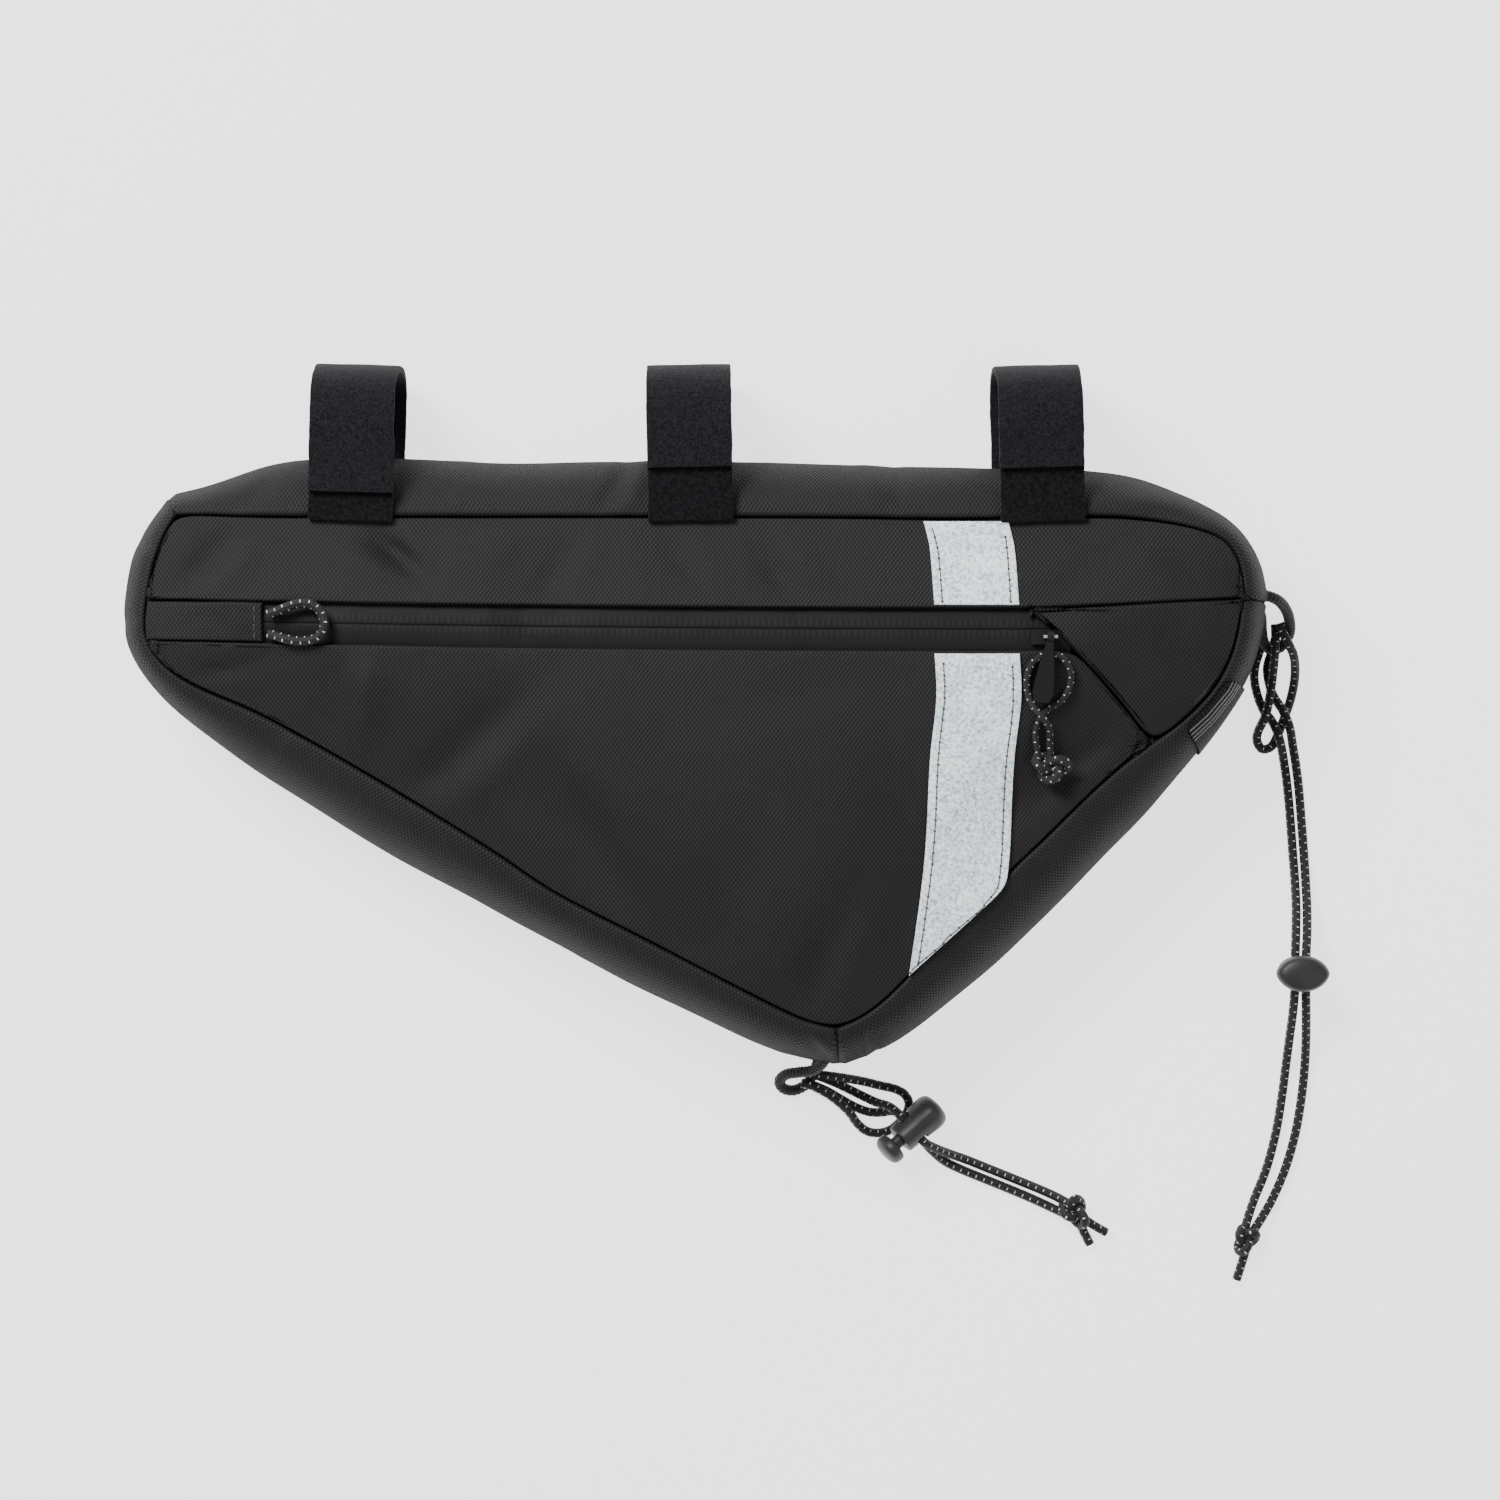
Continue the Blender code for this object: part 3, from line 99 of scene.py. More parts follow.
bottom_bight_route = [
    (31.6, -111.3, 8.4), (35.2, -112.1, 8.4), (40.2, -114.8, 8.0), (44.4, -118.2, 6.8),
    (46.9, -121.0, 4.8), (48.8, -123.8, 2.8), (51.6, -126.2, 1.6), (55.1, -126.9, 1.5),
    (58.8, -126.0, 1.5), (61.8, -123.6, 1.5), (64.0, -120.6, 1.5), (64.6, -117.6, 1.5),
    (63.2, -115.0, 1.5), (60.2, -113.4, 1.5), (55.8, -112.4, 1.6), (50.3, -111.0, 2.6),
    (44.6, -109.8, 5.6), (39.8, -109.0, 7.8), (36.0, -108.6, 8.5), (33.2, -108.5, 8.6),
]
bottom_outer_route = [
    (32.6, -108.3, 5.3), (36.4, -109.1, 5.3), (41.1, -110.9, 4.4), (45.8, -113.2, 2.4),
    (50.4, -115.5, 2.4), (54.6, -117.3, 4.8), (58.6, -118.4, 9.0), (62.1, -121.2, 11.7),
    (65.3, -124.9, 12.0), (68.7, -128.7, 11.5), (72.6, -131.0, 8.6), (76.8, -132.9, 5.0),
    (82.2, -135.0, 2.0), (88.6, -137.6, 1.5), (98.0, -141.4, 1.5), (105.6, -144.5, 1.9),
    (110.2, -146.6, 3.0), (113.8, -148.6, 4.6),
]
bottom_inner_route = [
    (32.0, -111.3, 5.1), (35.6, -112.2, 5.1), (39.6, -113.9, 4.6), (43.8, -116.4, 3.4),
    (48.2, -118.9, 2.2), (52.6, -120.4, 2.8), (56.6, -120.4, 3.8), (59.8, -119.9, 6.2),
    (62.3, -121.6, 8.2), (65.3, -124.9, 8.4), (68.4, -128.4, 8.3), (71.0, -131.4, 6.0),
    (75.2, -135.2, 2.6), (80.4, -137.9, 1.5), (87.2, -140.7, 1.5), (96.8, -144.6, 1.5),
    (103.8, -147.6, 1.9), (109.3, -150.1, 3.2),
    (112.8, -151.6, 4.8),
]


def smooth_line(route, step=0.8 * mm, closed=False):
    """Evenly spaced points on a smooth line through a route given in millimetres."""
    points = [Vector(p) * mm for p in route]
    count = len(points)
    fine = []
    for i in range(count if closed else count - 1):
        a, b, c, d = [points[(i + k) % count] if closed else points[min(max(i + k, 0), count - 1)]
                      for k in (-1, 0, 1, 2)]
        for t in np.linspace(0.0, 1.0, 12, endpoint=False):
            fine.append(0.5 * (2 * b + (c - a) * t + (2 * a - 5 * b + 4 * c - d) * t * t
                               + (3 * b - a - 3 * c + d) * t ** 3))
    fine.append(points[0] if closed else points[-1])
    reach = np.cumsum([0.0] + [(q - p).length for p, q in zip(fine, fine[1:])])
    spots = np.linspace(0.0, reach[-1], max(int(reach[-1] / step), 8))
    table = np.array(fine)
    return [Vector([np.interp(s, reach, table[:, k]) for k in range(3)]) for s in spots]


def cord_mesh(name, points, radius, sides=14, swell=None, blunt=True):
    """A round cord as a mesh, unrolled into a map of its length and its turn, in metres."""
    builder = bmesh.new()
    unrolled = builder.loops.layers.uv.new("cloth")
    across = None
    rings = []
    reach = 0.0
    for i, spot in enumerate(points):
        ahead = (points[min(i + 1, len(points) - 1)] - points[max(i - 1, 0)]).normalized()
        if across is None:
            across = ahead.orthogonal().normalized()
        across = (across - ahead * across.dot(ahead)).normalized()
        other = ahead.cross(across)
        if i:
            reach += (spot - points[i - 1]).length
        r = radius * (swell(reach) if swell else 1.0)
        ring = [builder.verts.new(spot + (across * math.cos(t) + other * math.sin(t)) * r)
                for t in np.linspace(0.0, 2.0 * math.pi, sides, endpoint=False)]
        rings.append((reach, ring))
    turn = 2.0 * math.pi * radius
    for (s0, a), (s1, b) in zip(rings, rings[1:]):
        for k in range(sides):
            j = (k + 1) % sides
            face = builder.faces.new((a[k], a[j], b[j], b[k]))
            face.smooth = True
            for loop, place in zip(face.loops, ((s0, k), (s0, k + 1), (s1, k + 1), (s1, k))):
                loop[unrolled].uv = (place[0], turn * place[1] / sides)
    for ring in (rings[0][1][::-1], rings[-1][1]):
        builder.faces.new(ring)
    return add_mesh(name, builder)


def add_mesh(name, builder):
    mesh = bpy.data.meshes.new(name)
    builder.to_mesh(mesh)
    builder.free()
    piece = bpy.data.objects.new(name, mesh)
    bpy.context.scene.collection.objects.link(piece)
    return piece


def add_node(tree, kind, feeds=(), out=0, **settings):
    """One shader node. Its feeds are numbers or sockets, for its inputs in order or by name."""
    made = tree.nodes.new("ShaderNode" + kind)
    for key, value in settings.items():
        setattr(made, key, value)
    live = [s for s in made.inputs if s.enabled]
    pairs = [(made.inputs[k], f) for k, f in feeds.items()] if isinstance(feeds, dict) else zip(live, feeds)
    for socket, feed in pairs:
        if isinstance(feed, bpy.types.NodeSocket):
            tree.links.new(feed, socket)
        elif feed is not None:
            socket.default_value = feed
    return made.outputs[out]


def clouds(tree, scale, detail=2.0, harsh=0.5):
    """Noise in the object's own metres: its scale is in cells to the metre."""
    place = add_node(tree, "TexCoord", out=3)
    return add_node(tree, "TexNoise", {"Vector": place, "Scale": scale, "Detail": detail, "Roughness": harsh})


def calc(tree, operation, *feeds, clamp=False):
    return add_node(tree, "Math", feeds, operation=operation, use_clamp=clamp)


def effect_group(name, inputs, outputs):
    """An empty node group: inputs are (name, default), and a default of None is a vector."""
    group = bpy.data.node_groups.new(name, "ShaderNodeTree")
    for label, default in inputs:
        kind = "NodeSocketVector" if default is None else "NodeSocketFloat"
        socket = group.interface.new_socket(label, in_out="INPUT", socket_type=kind)
        if default is not None:
            socket.default_value = default
    for label in outputs:
        group.interface.new_socket(label, in_out="OUTPUT", socket_type="NodeSocketFloat")
    start = group.nodes.new("NodeGroupInput")
    end = group.nodes.new("NodeGroupOutput")
    return group, {s.name: s for s in start.outputs if s.name}, {s.name: s for s in end.inputs if s.name}


def use_group(tree, group, feeds):
    """A node group in a material: its output sockets by name."""
    made = tree.nodes.new("ShaderNodeGroup")
    made.node_tree = group
    for label, feed in feeds.items():
        if isinstance(feed, bpy.types.NodeSocket):
            tree.links.new(feed, made.inputs[label])
        else:
            made.inputs[label].default_value = feed
    return made.outputs


def new_finish(name, roughness, metallic=0.0, specular=0.5, sheen=0.0):
    """A material with its shader: returns the material, its tree and the shader's sockets."""
    material = bpy.data.materials.new(name)
    material.use_nodes = True
    shader = material.node_tree.nodes["Principled BSDF"]
    shader.inputs["Roughness"].default_value = roughness
    shader.inputs["Metallic"].default_value = metallic
    shader.inputs["Specular IOR Level"].default_value = specular
    if sheen:
        shader.inputs["Sheen Weight"].default_value = sheen
        shader.inputs["Sheen Roughness"].default_value = 0.6
    return material, material.node_tree, shader.inputs


def blend_colour(tree, share, dark, pale):
    return add_node(tree, "Mix", (share, (*dark, 1.0), (*pale, 1.0)), data_type="RGBA", out=2)


def make_braid_group():
    """A braided sleeve: strands that cross at a slant, with a pale thread at every other crossing."""
    group, given, result = effect_group(
        "braid", [("Map", None), ("Pitch", 1.5 * mm), ("Turn", 1.0), ("Fleck pitch", 2.5 * mm),
                  ("Fleck share", 0.2)],
        ["Height", "Fleck"])
    parts = group.nodes.new("ShaderNodeSeparateXYZ")
    group.links.new(given["Map"], parts.inputs[0])
    along = calc(group, "DIVIDE", parts.outputs[0], given["Pitch"])
    round_it = calc(group, "DIVIDE", parts.outputs[1], given["Turn"])
    strands = calc(group, "MULTIPLY", round_it, 4.0)
    waves = []
    for way in ("ADD", "SUBTRACT"):
        slant = calc(group, "MULTIPLY", calc(group, way, along, strands), 2.0 * math.pi)
        waves.append(calc(group, "SINE", slant))
    height = calc(group, "MULTIPLY", waves[0], waves[1])
    group.links.new(calc(group, "ADD", calc(group, "MULTIPLY", height, 0.5), 0.5), result["Height"])
    sector = calc(group, "MULTIPLY", round_it, 4.0)
    step = calc(group, "ADD", calc(group, "DIVIDE", parts.outputs[0], given["Fleck pitch"]),
                calc(group, "MULTIPLY", calc(group, "FLOOR", sector), 0.5))
    bar = calc(group, "LESS_THAN", calc(group, "FRACT", step), given["Fleck share"])
    short = calc(group, "LESS_THAN", calc(group, "FRACT", sector), 0.42)
    group.links.new(calc(group, "MULTIPLY", bar, short), result["Fleck"])
    return group


braid = make_braid_group()


def make_cord_finish(name, turn, pitch, flecks, share=0.13):
    material, tree, shader = new_finish(name, 0.62, specular=0.3, sheen=0.05)
    place = add_node(tree, "UVMap", uv_map="cloth")
    woven = use_group(tree, braid, {"Map": place, "Pitch": pitch, "Turn": turn,
                                    "Fleck pitch": flecks, "Fleck share": share})
    grain = clouds(tree, 2500.0, 3.0)
    # Colour from the braid's height: paler on the strands and darker in the grooves between them, a painted shade in
    # the grooves, with a random grain of tone.
    shade = calc(tree, "ADD", calc(tree, "MULTIPLY", woven["Height"], 0.7),
                 calc(tree, "MULTIPLY", grain, 0.3))
    black = blend_colour(tree, shade, (0.003, 0.003, 0.004), (0.022, 0.021, 0.023))
    colour = add_node(tree, "Mix", (woven["Fleck"], black, (0.60, 0.60, 0.58, 1.0)), data_type="RGBA", out=2)
    tree.links.new(colour, shader["Base Color"])
    raised = calc(tree, "ADD", woven["Height"], calc(tree, "MULTIPLY", woven["Fleck"], 0.5))
    bump = add_node(tree, "Bump", {"Height": raised, "Distance": 0.18 * mm, "Strength": 0.9})
    tree.links.new(bump, shader["Normal"])
    return material


elastic_finish = make_cord_finish("elastic", math.pi * elastic_width, braid_pitch, fleck_pitch)


def braided(name, route, width, finish, node, body="bag", step=0.7 * mm):
    """A braided cord along a route, in place of its solid."""
    line = smooth_line(route, step)
    cord = cord_mesh(name, line, width / 2.0)
    cord.data.materials.append(finish)
    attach(cord, body)
    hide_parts(node)
    return cord, line


cord_rows = (
    ("right_bight", right_bight_route, "right_cord_loop", "object", ()),
    ("right_outer_strand", right_outer_route, "right_cord_outer", "knot", ("right_lock", "right_knot_tied")),
    ("right_inner_strand", right_inner_route, "right_cord_inner", "knot", ()),
    ("bottom_bight", bottom_bight_route, "bottom_cord_loop", "object", ()),
    ("bottom_outer_strand", bottom_outer_route, "bottom_cord_outer", "knot", ("bottom_lock", "bottom_knot_tied")),
    ("bottom_inner_strand", bottom_inner_route, "bottom_cord_inner", "knot", ()),
)
for cord_name, cord_route, cord_node, far_end, on_it in cord_rows:
    braided(cord_name, cord_route, elastic_width, elastic_finish, cord_node)


# The loops that hold the shock cords: ribbed black cord, 3.4 mm, sewn into the side wall's seam at
# the blunt end and at the bottom corner. They curl down to the floor round the cord's bight.
anchor_width = 3.4 * mm
rib_pitch = 1.25 * mm
anchor_rows = (
    ("right_anchor_loop", "anchor_right", [
        (169.8, 36.6, 23.4), (174.3, 35.2, 21.5), (177.2, 33.0, 17.6), (179.2, 29.6, 12.9),
        (179.8, 25.4, 8.6), (178.0, 21.6, 5.8), (174.8, 20.2, 5.3), (172.3, 22.4, 6.4),
        (171.2, 26.0, 10.0), (170.4, 30.2, 15.2), (168.6, 32.8, 18.6)]),
    ("bottom_anchor_loop", "anchor_bottom", [
        (40.0, -98.4, 21.0), (38.8, -103.4, 18.4), (35.6, -106.8, 14.4), (31.0, -107.8, 11.0),
        (27.2, -108.6, 8.2), (25.2, -110.8, 5.4), (26.4, -113.2, 3.2), (29.8, -113.8, 1.9),
        (33.6, -111.8, 1.8), (35.8, -108.2, 1.8), (36.8, -105.0, 1.9), (37.6, -101.4, 2.2)]),
)
anchor_finish = make_cord_finish("ribbed_loop", math.pi * anchor_width, rib_pitch, 2.5 * mm, share=0.0)


def ribbed(reach):
    return 0.97 + 0.05 * math.cos(2.0 * math.pi * reach / rib_pitch)


for anchor_name, anchor_node, anchor_route in anchor_rows:
    line = smooth_line(anchor_route, 0.25 * mm)
    anchor = cord_mesh(anchor_name, line, anchor_width / 2.0, sides=16, swell=ribbed)
    anchor.data.materials.append(anchor_finish)
    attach(anchor, "bag")
    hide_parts(anchor_node)


# The cord locks: moulded plastic barrels, each with a slot that both strands run through, and a sprung
# button that lets them go. The right one stands on its button, the bottom one lies on its side.
lock_length = 15.6 * mm
lock_width = 16.0 * mm
lock_depth = 11.0 * mm
slot_at = 10.6 * mm
slot_size = (7.9 * mm, 24.0 * mm, 4.0 * mm)
press_start = 18.0 * mm
press_length = 4.4 * mm
stem_radius = 2.05 * mm
barrel_rings = ((0.00, 0.30, 0.32), (0.015, 0.52, 0.56), (0.05, 0.80, 0.82), (0.14, 0.965, 0.97),
                (0.30, 1.00, 1.00), (0.62, 0.85, 0.90), (0.88, 0.78, 0.86), (0.97, 0.76, 0.84),
                (1.00, 0.71, 0.79))
press_rings = ((0.00, 0.64, 0.70), (0.06, 0.74, 0.82), (0.34, 0.78, 0.86), (0.66, 0.74, 0.82),
               (0.88, 0.58, 0.66), (0.97, 0.36, 0.42), (1.00, 0.14, 0.16))
lock_rows = (
    ("right", (182.75, -77.6, 12.2), 0.0, 180.0),
    ("bottom", (65.3, -124.9, 10.2), 222.0, 80.0),
)


def moulded(rings, length, start, sides=56, steps=5):
    """A round-edged oval solid through rings of (share of length, width, depth)."""
    table = smooth_line([(at * length / mm, wide, deep) for at, wide, deep in rings], 0.35 * mm)
    builder = bmesh.new()
    loops = []
    for row in table:
        at, wide, deep = row / mm
        loop = []
        for turn in np.linspace(0.0, 2.0 * math.pi, sides, endpoint=False):
            side = math.copysign(abs(math.sin(turn)) ** 1.25, math.sin(turn))
            loop.append(builder.verts.new((math.cos(turn) * wide * lock_width / 2.0,
                                           side * deep * lock_depth / 2.0, start + at * mm)))
        loops.append(loop)
    for a, b in zip(loops, loops[1:]):
        for k in range(sides):
            builder.faces.new((a[k], a[(k + 1) % sides], b[(k + 1) % sides], b[k]))
    builder.faces.new(loops[0][::-1])
    builder.faces.new(loops[-1])
    bmesh.ops.recalc_face_normals(builder, faces=builder.faces[:])
    return add_mesh("moulded", builder)


def rod(radius, start, end):
    builder = bmesh.new()
    bmesh.ops.create_cone(builder, cap_ends=True, segments=32, radius1=radius, radius2=radius,
                          depth=end - start, matrix=Matrix.Translation((0.0, 0.0, (start + end) / 2.0)))
    return add_mesh("rod", builder)


def combined(piece, other, operation):
    """A piece with another cut from it or joined to it."""
    step = piece.modifiers.new("combine", "BOOLEAN")
    step.operation = operation
    step.solver = "EXACT"
    step.object = other
    bpy.context.view_layer.update()
    mesh = bpy.data.meshes.new_from_object(piece.evaluated_get(bpy.context.evaluated_depsgraph_get()))
    for used in (piece, other):
        bpy.data.objects.remove(used, do_unlink=True)
    result = bpy.data.objects.new("combined", mesh)
    bpy.context.scene.collection.objects.link(result)
    return result


def make_plastic_finish():
    material, tree, shader = new_finish("moulded_plastic", 0.46, specular=0.36)
    grain = clouds(tree, 3500.0)
    patches = clouds(tree, 200.0)
    tree.links.new(blend_colour(tree, patches, (0.018, 0.018, 0.019), (0.030, 0.030, 0.032)),
                   shader["Base Color"])
    bump = add_node(tree, "Bump", {"Height": grain, "Distance": 0.03 * mm, "Strength": 0.5})
    tree.links.new(bump, shader["Normal"])
    return material


plastic_finish = make_plastic_finish()
for side, place, turn, tilt in lock_rows:
    stand = (Matrix.Translation(Vector(place) * mm) @ Matrix.Rotation(math.radians(turn), 4, "Z")
             @ Matrix.Rotation(math.radians(tilt), 4, "Y") @ Matrix.Translation((0.0, 0.0, -slot_at)))
    slot = bmesh.new()
    bmesh.ops.create_cube(slot, size=1.0, matrix=Matrix.Translation((0.0, 0.0, slot_at))
                          @ Matrix.Diagonal((*slot_size, 1.0)))
    bmesh.ops.bevel(slot, geom=[e for e in slot.edges if abs(e.verts[0].co.y - e.verts[1].co.y) > mm],
                    offset=1.2 * mm, offset_type="OFFSET", segments=4, profile=0.5, affect="EDGES")
    barrel = combined(moulded(barrel_rings, lock_length, 0.0), add_mesh("slot", slot), "DIFFERENCE")
    press = combined(moulded(press_rings, press_length, press_start),
                     rod(stem_radius, lock_length - 0.6 * mm, press_start + 1.0 * mm), "UNION")
    for piece, name, body, node in ((barrel, f"{side}_lock", "bag", f"{side}_lock_barrel"),
                                    (press, f"{side}_lock_press", f"{side}_button", f"{side}_lock_button")):
        piece.name = name
        piece.data.transform(stand)
        piece.data.materials.clear()
        piece.data.materials.append(plastic_finish)
        piece.data.shade_smooth()
        piece.data.set_sharp_from_angle(angle=math.radians(40))
        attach(piece, body)
        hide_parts(node)


# The knots at the shock cords' ends. Both strands are tied together in a round overhand knot and
# cut off short, so a tail or two stick out of it.
knot_rows = (
    ("right_knot", Vector((166.9, -158.9, 4.9)), (2.5, 3.6, 1.6), -24.0,
     [[(167.6, -160.4, 4.0), (166.4, -165.0, 2.4), (164.4, -171.6, 1.7)]]),
    ("bottom_knot", Vector((114.9, -150.4, 5.2)), (2.9, 4.2, 1.8), 32.0,
     [[(116.4, -151.6, 4.4), (120.4, -154.6, 2.6), (124.8, -157.2, 1.7)],
      [(115.6, -152.4, 3.6), (117.8, -156.8, 2.2), (119.8, -160.8, 1.7)]]),
)


def knot_route(middle, size, turn):
    """The route of an overhand knot drawn tight about a point, in millimetres."""
    swing = Matrix.Rotation(math.radians(turn), 3, "Z")
    route = []
    for t in np.linspace(0.0, 2.0 * math.pi, 28, endpoint=False):
        loop = Vector(((math.sin(t) + 2.0 * math.sin(2.0 * t)) * size[0] / 2.6,
                       (math.cos(t) - 2.0 * math.cos(2.0 * t)) * size[1] / 2.6,
                       -math.sin(3.0 * t) * size[2]))
        route.append(middle + swing @ loop)
    return route


def join_pieces(name, pieces):
    """Several meshes made into the first of them."""
    builder = bmesh.new()
    for piece in pieces:
        builder.from_mesh(piece.data)
    mesh = pieces[0].data.copy()
    builder.to_mesh(mesh)
    builder.free()
    for piece in pieces:
        bpy.data.objects.remove(piece, do_unlink=True)
    joined = bpy.data.objects.new(name, mesh)
    bpy.context.scene.collection.objects.link(joined)
    return joined


for knot_node, knot_middle, knot_size, knot_turn, tails in knot_rows:
    turns = smooth_line(knot_route(knot_middle, knot_size, knot_turn), 0.6 * mm, closed=True)
    turned = [cord_mesh("turns", turns, elastic_width / 2.0)]
    turned += [cord_mesh("tail", smooth_line(tail, 0.6 * mm), elastic_width / 2.0) for tail in tails]
    knot = join_pieces(knot_node + "_tied", turned)
    knot.data.materials.clear()
    knot.data.materials.append(elastic_finish)
    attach(knot, "bag")
    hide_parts(knot_node)


# The bag's body: black coated polyester with a fine staggered weave, cut into panels for the front,
# the back and the side wall, sewn right sides together and turned, so that each edge rolls under.
weave_across = 1.2 * mm
weave_along = 1.6 * mm
rolled_edge = 0.8 * mm
turned_in = 1.3 * mm


def make_weave_group():
    """A woven face: rows of short raised floats, each row half a step aside from the last."""
    group, given, result = effect_group(
        "woven_face", [("Map", None), ("Across", 1.2 * mm), ("Along", 1.6 * mm)], ["Height"])
    parts = group.nodes.new("ShaderNodeSeparateXYZ")
    group.links.new(given["Map"], parts.inputs[0])
    waves = []
    for axis, pitch in ((0, "Across"), (1, "Along")):
        turn = calc(group, "MULTIPLY", calc(group, "DIVIDE", parts.outputs[axis], given[pitch]), 2.0 * math.pi)
        waves.append(calc(group, "COSINE", turn))
    height = calc(group, "MULTIPLY", waves[0], waves[1])
    group.links.new(calc(group, "MULTIPLY", calc(group, "ADD", height, 1.0), 0.5), result["Height"])
    return group


woven_face = make_weave_group()


def make_cloth_finish(name, dark, pale, roughness, relief):
    material, tree, shader = new_finish(name, roughness, specular=0.16)
    rim = tree.nodes.new("ShaderNodeLayerWeight")
    rim.inputs["Blend"].default_value = 0.5
    tree.links.new(calc(tree, "MULTIPLY", calc(tree, "SUBTRACT", 1.0, rim.outputs["Facing"], clamp=True), 0.17),
                   shader["Specular IOR Level"])
    place = add_node(tree, "UVMap", uv_map="cloth")
    face = use_group(tree, woven_face, {"Map": place, "Across": weave_across, "Along": weave_along})
    patches = clouds(tree, 45.0, 4.0, 0.6)
    grain = clouds(tree, 1700.0)
    # Colour from the weave's height: paler on the raised floats and darker between them, a painted shade between the
    # floats. The patches and fine grain are the cloth's own uneven tone.
    shade = calc(tree, "ADD", calc(tree, "MULTIPLY", face["Height"], 0.55),
                 calc(tree, "ADD", calc(tree, "MULTIPLY", patches, 0.25),
                      calc(tree, "MULTIPLY", grain, 0.20)))
    tree.links.new(blend_colour(tree, shade, dark, pale), shader["Base Color"])
    rough = calc(tree, "ADD", calc(tree, "MULTIPLY", patches, 0.16), roughness - 0.08)
    tree.links.new(rough, shader["Roughness"])
    height = calc(tree, "ADD", face["Height"], calc(tree, "MULTIPLY", grain, 0.25))
    bump = add_node(tree, "Bump", {"Height": height, "Distance": relief, "Strength": 0.8})
    tree.links.new(bump, shader["Normal"])
    return material


cloth_finish = make_cloth_finish("coated_cloth", (0.0042, 0.0037, 0.0041), (0.031, 0.0284, 0.0301), 0.58,
                                 0.24 * mm)


def welded(node):
    """A solid's mesh with its corners welded."""
    builder = bmesh.new()
    builder.from_mesh(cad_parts[node].data)
    bmesh.ops.remove_doubles(builder, verts=builder.verts[:], dist=0.002 * mm)
    builder.normal_update()
    return builder


def to_quads(builder):
    bmesh.ops.join_triangles(builder, faces=builder.faces[:], angle_face_threshold=math.pi,
                             angle_shape_threshold=math.pi, topology_influence=2.0)


def subdivided(builder, levels):
    """The same mesh after smooth subdivision."""
    piece = add_mesh("subdivided", builder)
    step = piece.modifiers.new("smooth", "SUBSURF")
    step.levels = step.render_levels = levels
    step.boundary_smooth = "PRESERVE_CORNERS"
    bpy.context.view_layer.update()
    seen = piece.evaluated_get(bpy.context.evaluated_depsgraph_get())
    result = bmesh.new()
    result.from_mesh(seen.to_mesh())
    seen.to_mesh_clear()
    bpy.data.objects.remove(piece, do_unlink=True)
    return result


def spots(builder):
    return np.array([v.co for v in builder.verts])


def edge_distance(points, edges):
    """How far each point lies from the nearest of some edges, seen from above."""
    starts = np.array([e.verts[0].co for e in edges])
    ends = np.array([e.verts[1].co for e in edges])
    best = np.full(len(points), 1.0)
    for a, b in zip(starts, ends):
        span = b - a
        share = np.clip(((points - a) @ span) / max(span @ span, 1e-12), 0.0, 1.0)
        best = np.minimum(best, np.linalg.norm(points - a - share[:, None] * span, axis=1))
    return best


def ripple(points, wave, seed):
    """Smooth uneven ups and downs, about from -1 to 1."""
    shift = Vector((seed * 3.7, seed * 1.3, seed * 7.1))
    return np.array([noise.noise(Vector(p) / wave + shift) for p in points])


def press_folds(points, folds, lift, height=2.6):
    """Adds each fold's rise to the lift: long soft ridges and valleys on the floor plan."""
    for x, y, angle, length, width, rise in folds:
        turn = math.radians(angle)
        dx, dy = points[:, 0] - x * mm, points[:, 1] - y * mm
        u = (dx * math.cos(turn) + dy * math.sin(turn)) / (length * mm)
        v = (dy * math.cos(turn) - dx * math.sin(turn)) / (width * mm)
        lift += height * rise * mm * np.exp(-u * u - v * v)
    return lift


def roll_edges(builder, radius=rolled_edge, depth=turned_in, new_rows=True):
    """Rounds every open edge over and turns it in under the cloth."""
    if new_rows:
        bmesh.ops.inset_region(builder, faces=builder.faces[:], thickness=radius, use_boundary=True,
                               use_even_offset=False)
        rim = {v for v in builder.verts if v.is_boundary}
        short = [e for e in builder.edges if (e.verts[0] in rim) != (e.verts[1] in rim)]
        bmesh.ops.subdivide_edges(builder, edges=short, cuts=3, use_grid_fill=True)
    builder.normal_update()
    edges = [e for e in builder.edges if e.is_boundary]
    distance = edge_distance(spots(builder), edges)
    normals = [v.normal.copy() for v in builder.verts]
    for v, away, normal in zip(builder.verts, distance, normals):
        if away < radius:
            v.co -= normal * (radius - math.sqrt(radius ** 2 - (radius - away) ** 2))
    inward = {v: normals[v.index] for e in edges for v in e.verts}
    places = {v: v.co.copy() for v in inward}
    made = bmesh.ops.extrude_edge_only(builder, edges=edges)["geom"]
    for fresh in (v for v in made if isinstance(v, bmesh.types.BMVert)):
        for edge in fresh.link_edges:
            source = edge.other_vert(fresh)
            if source in inward:
                fresh.co = places[source] - inward[source] * depth


def flat_map(point):
    return point.x, point.y


def unroll(builder, place):
    """Writes the cloth's map: where each corner lay on the flat cut piece, in metres."""
    layer = builder.loops.layers.uv.new("cloth")
    for face in builder.faces:
        for loop in face.loops:
            loop[layer].uv = place(loop.vert.co)


def settle(builder, keep, passes):
    """Evens out heights away from the edges."""
    inner = [v for v in builder.verts if not v.is_boundary]
    for _ in range(passes):
        bmesh.ops.smooth_vert(builder, verts=inner, factor=0.5, use_axis_x=False, use_axis_y=False,
                              use_axis_z=keep)


def declare_cut(piece):
    """Reads the corners of the cloth's map, and does nothing more with them."""
    corners = np.empty(2 * len(piece.data.loops))
    piece.data.uv_layers["cloth"].data.foreach_get("uv", corners)
    corners = corners.reshape(-1, 2)


def sewn_piece(name, builder, finish, node):
    """A finished cloth mesh as a piece of the bag, in place of its solid."""
    for face in builder.faces:
        face.smooth = True
    piece = add_mesh(name, builder)
    piece.data.materials.append(finish)
    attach(piece, "bag")
    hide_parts(node)
    return piece


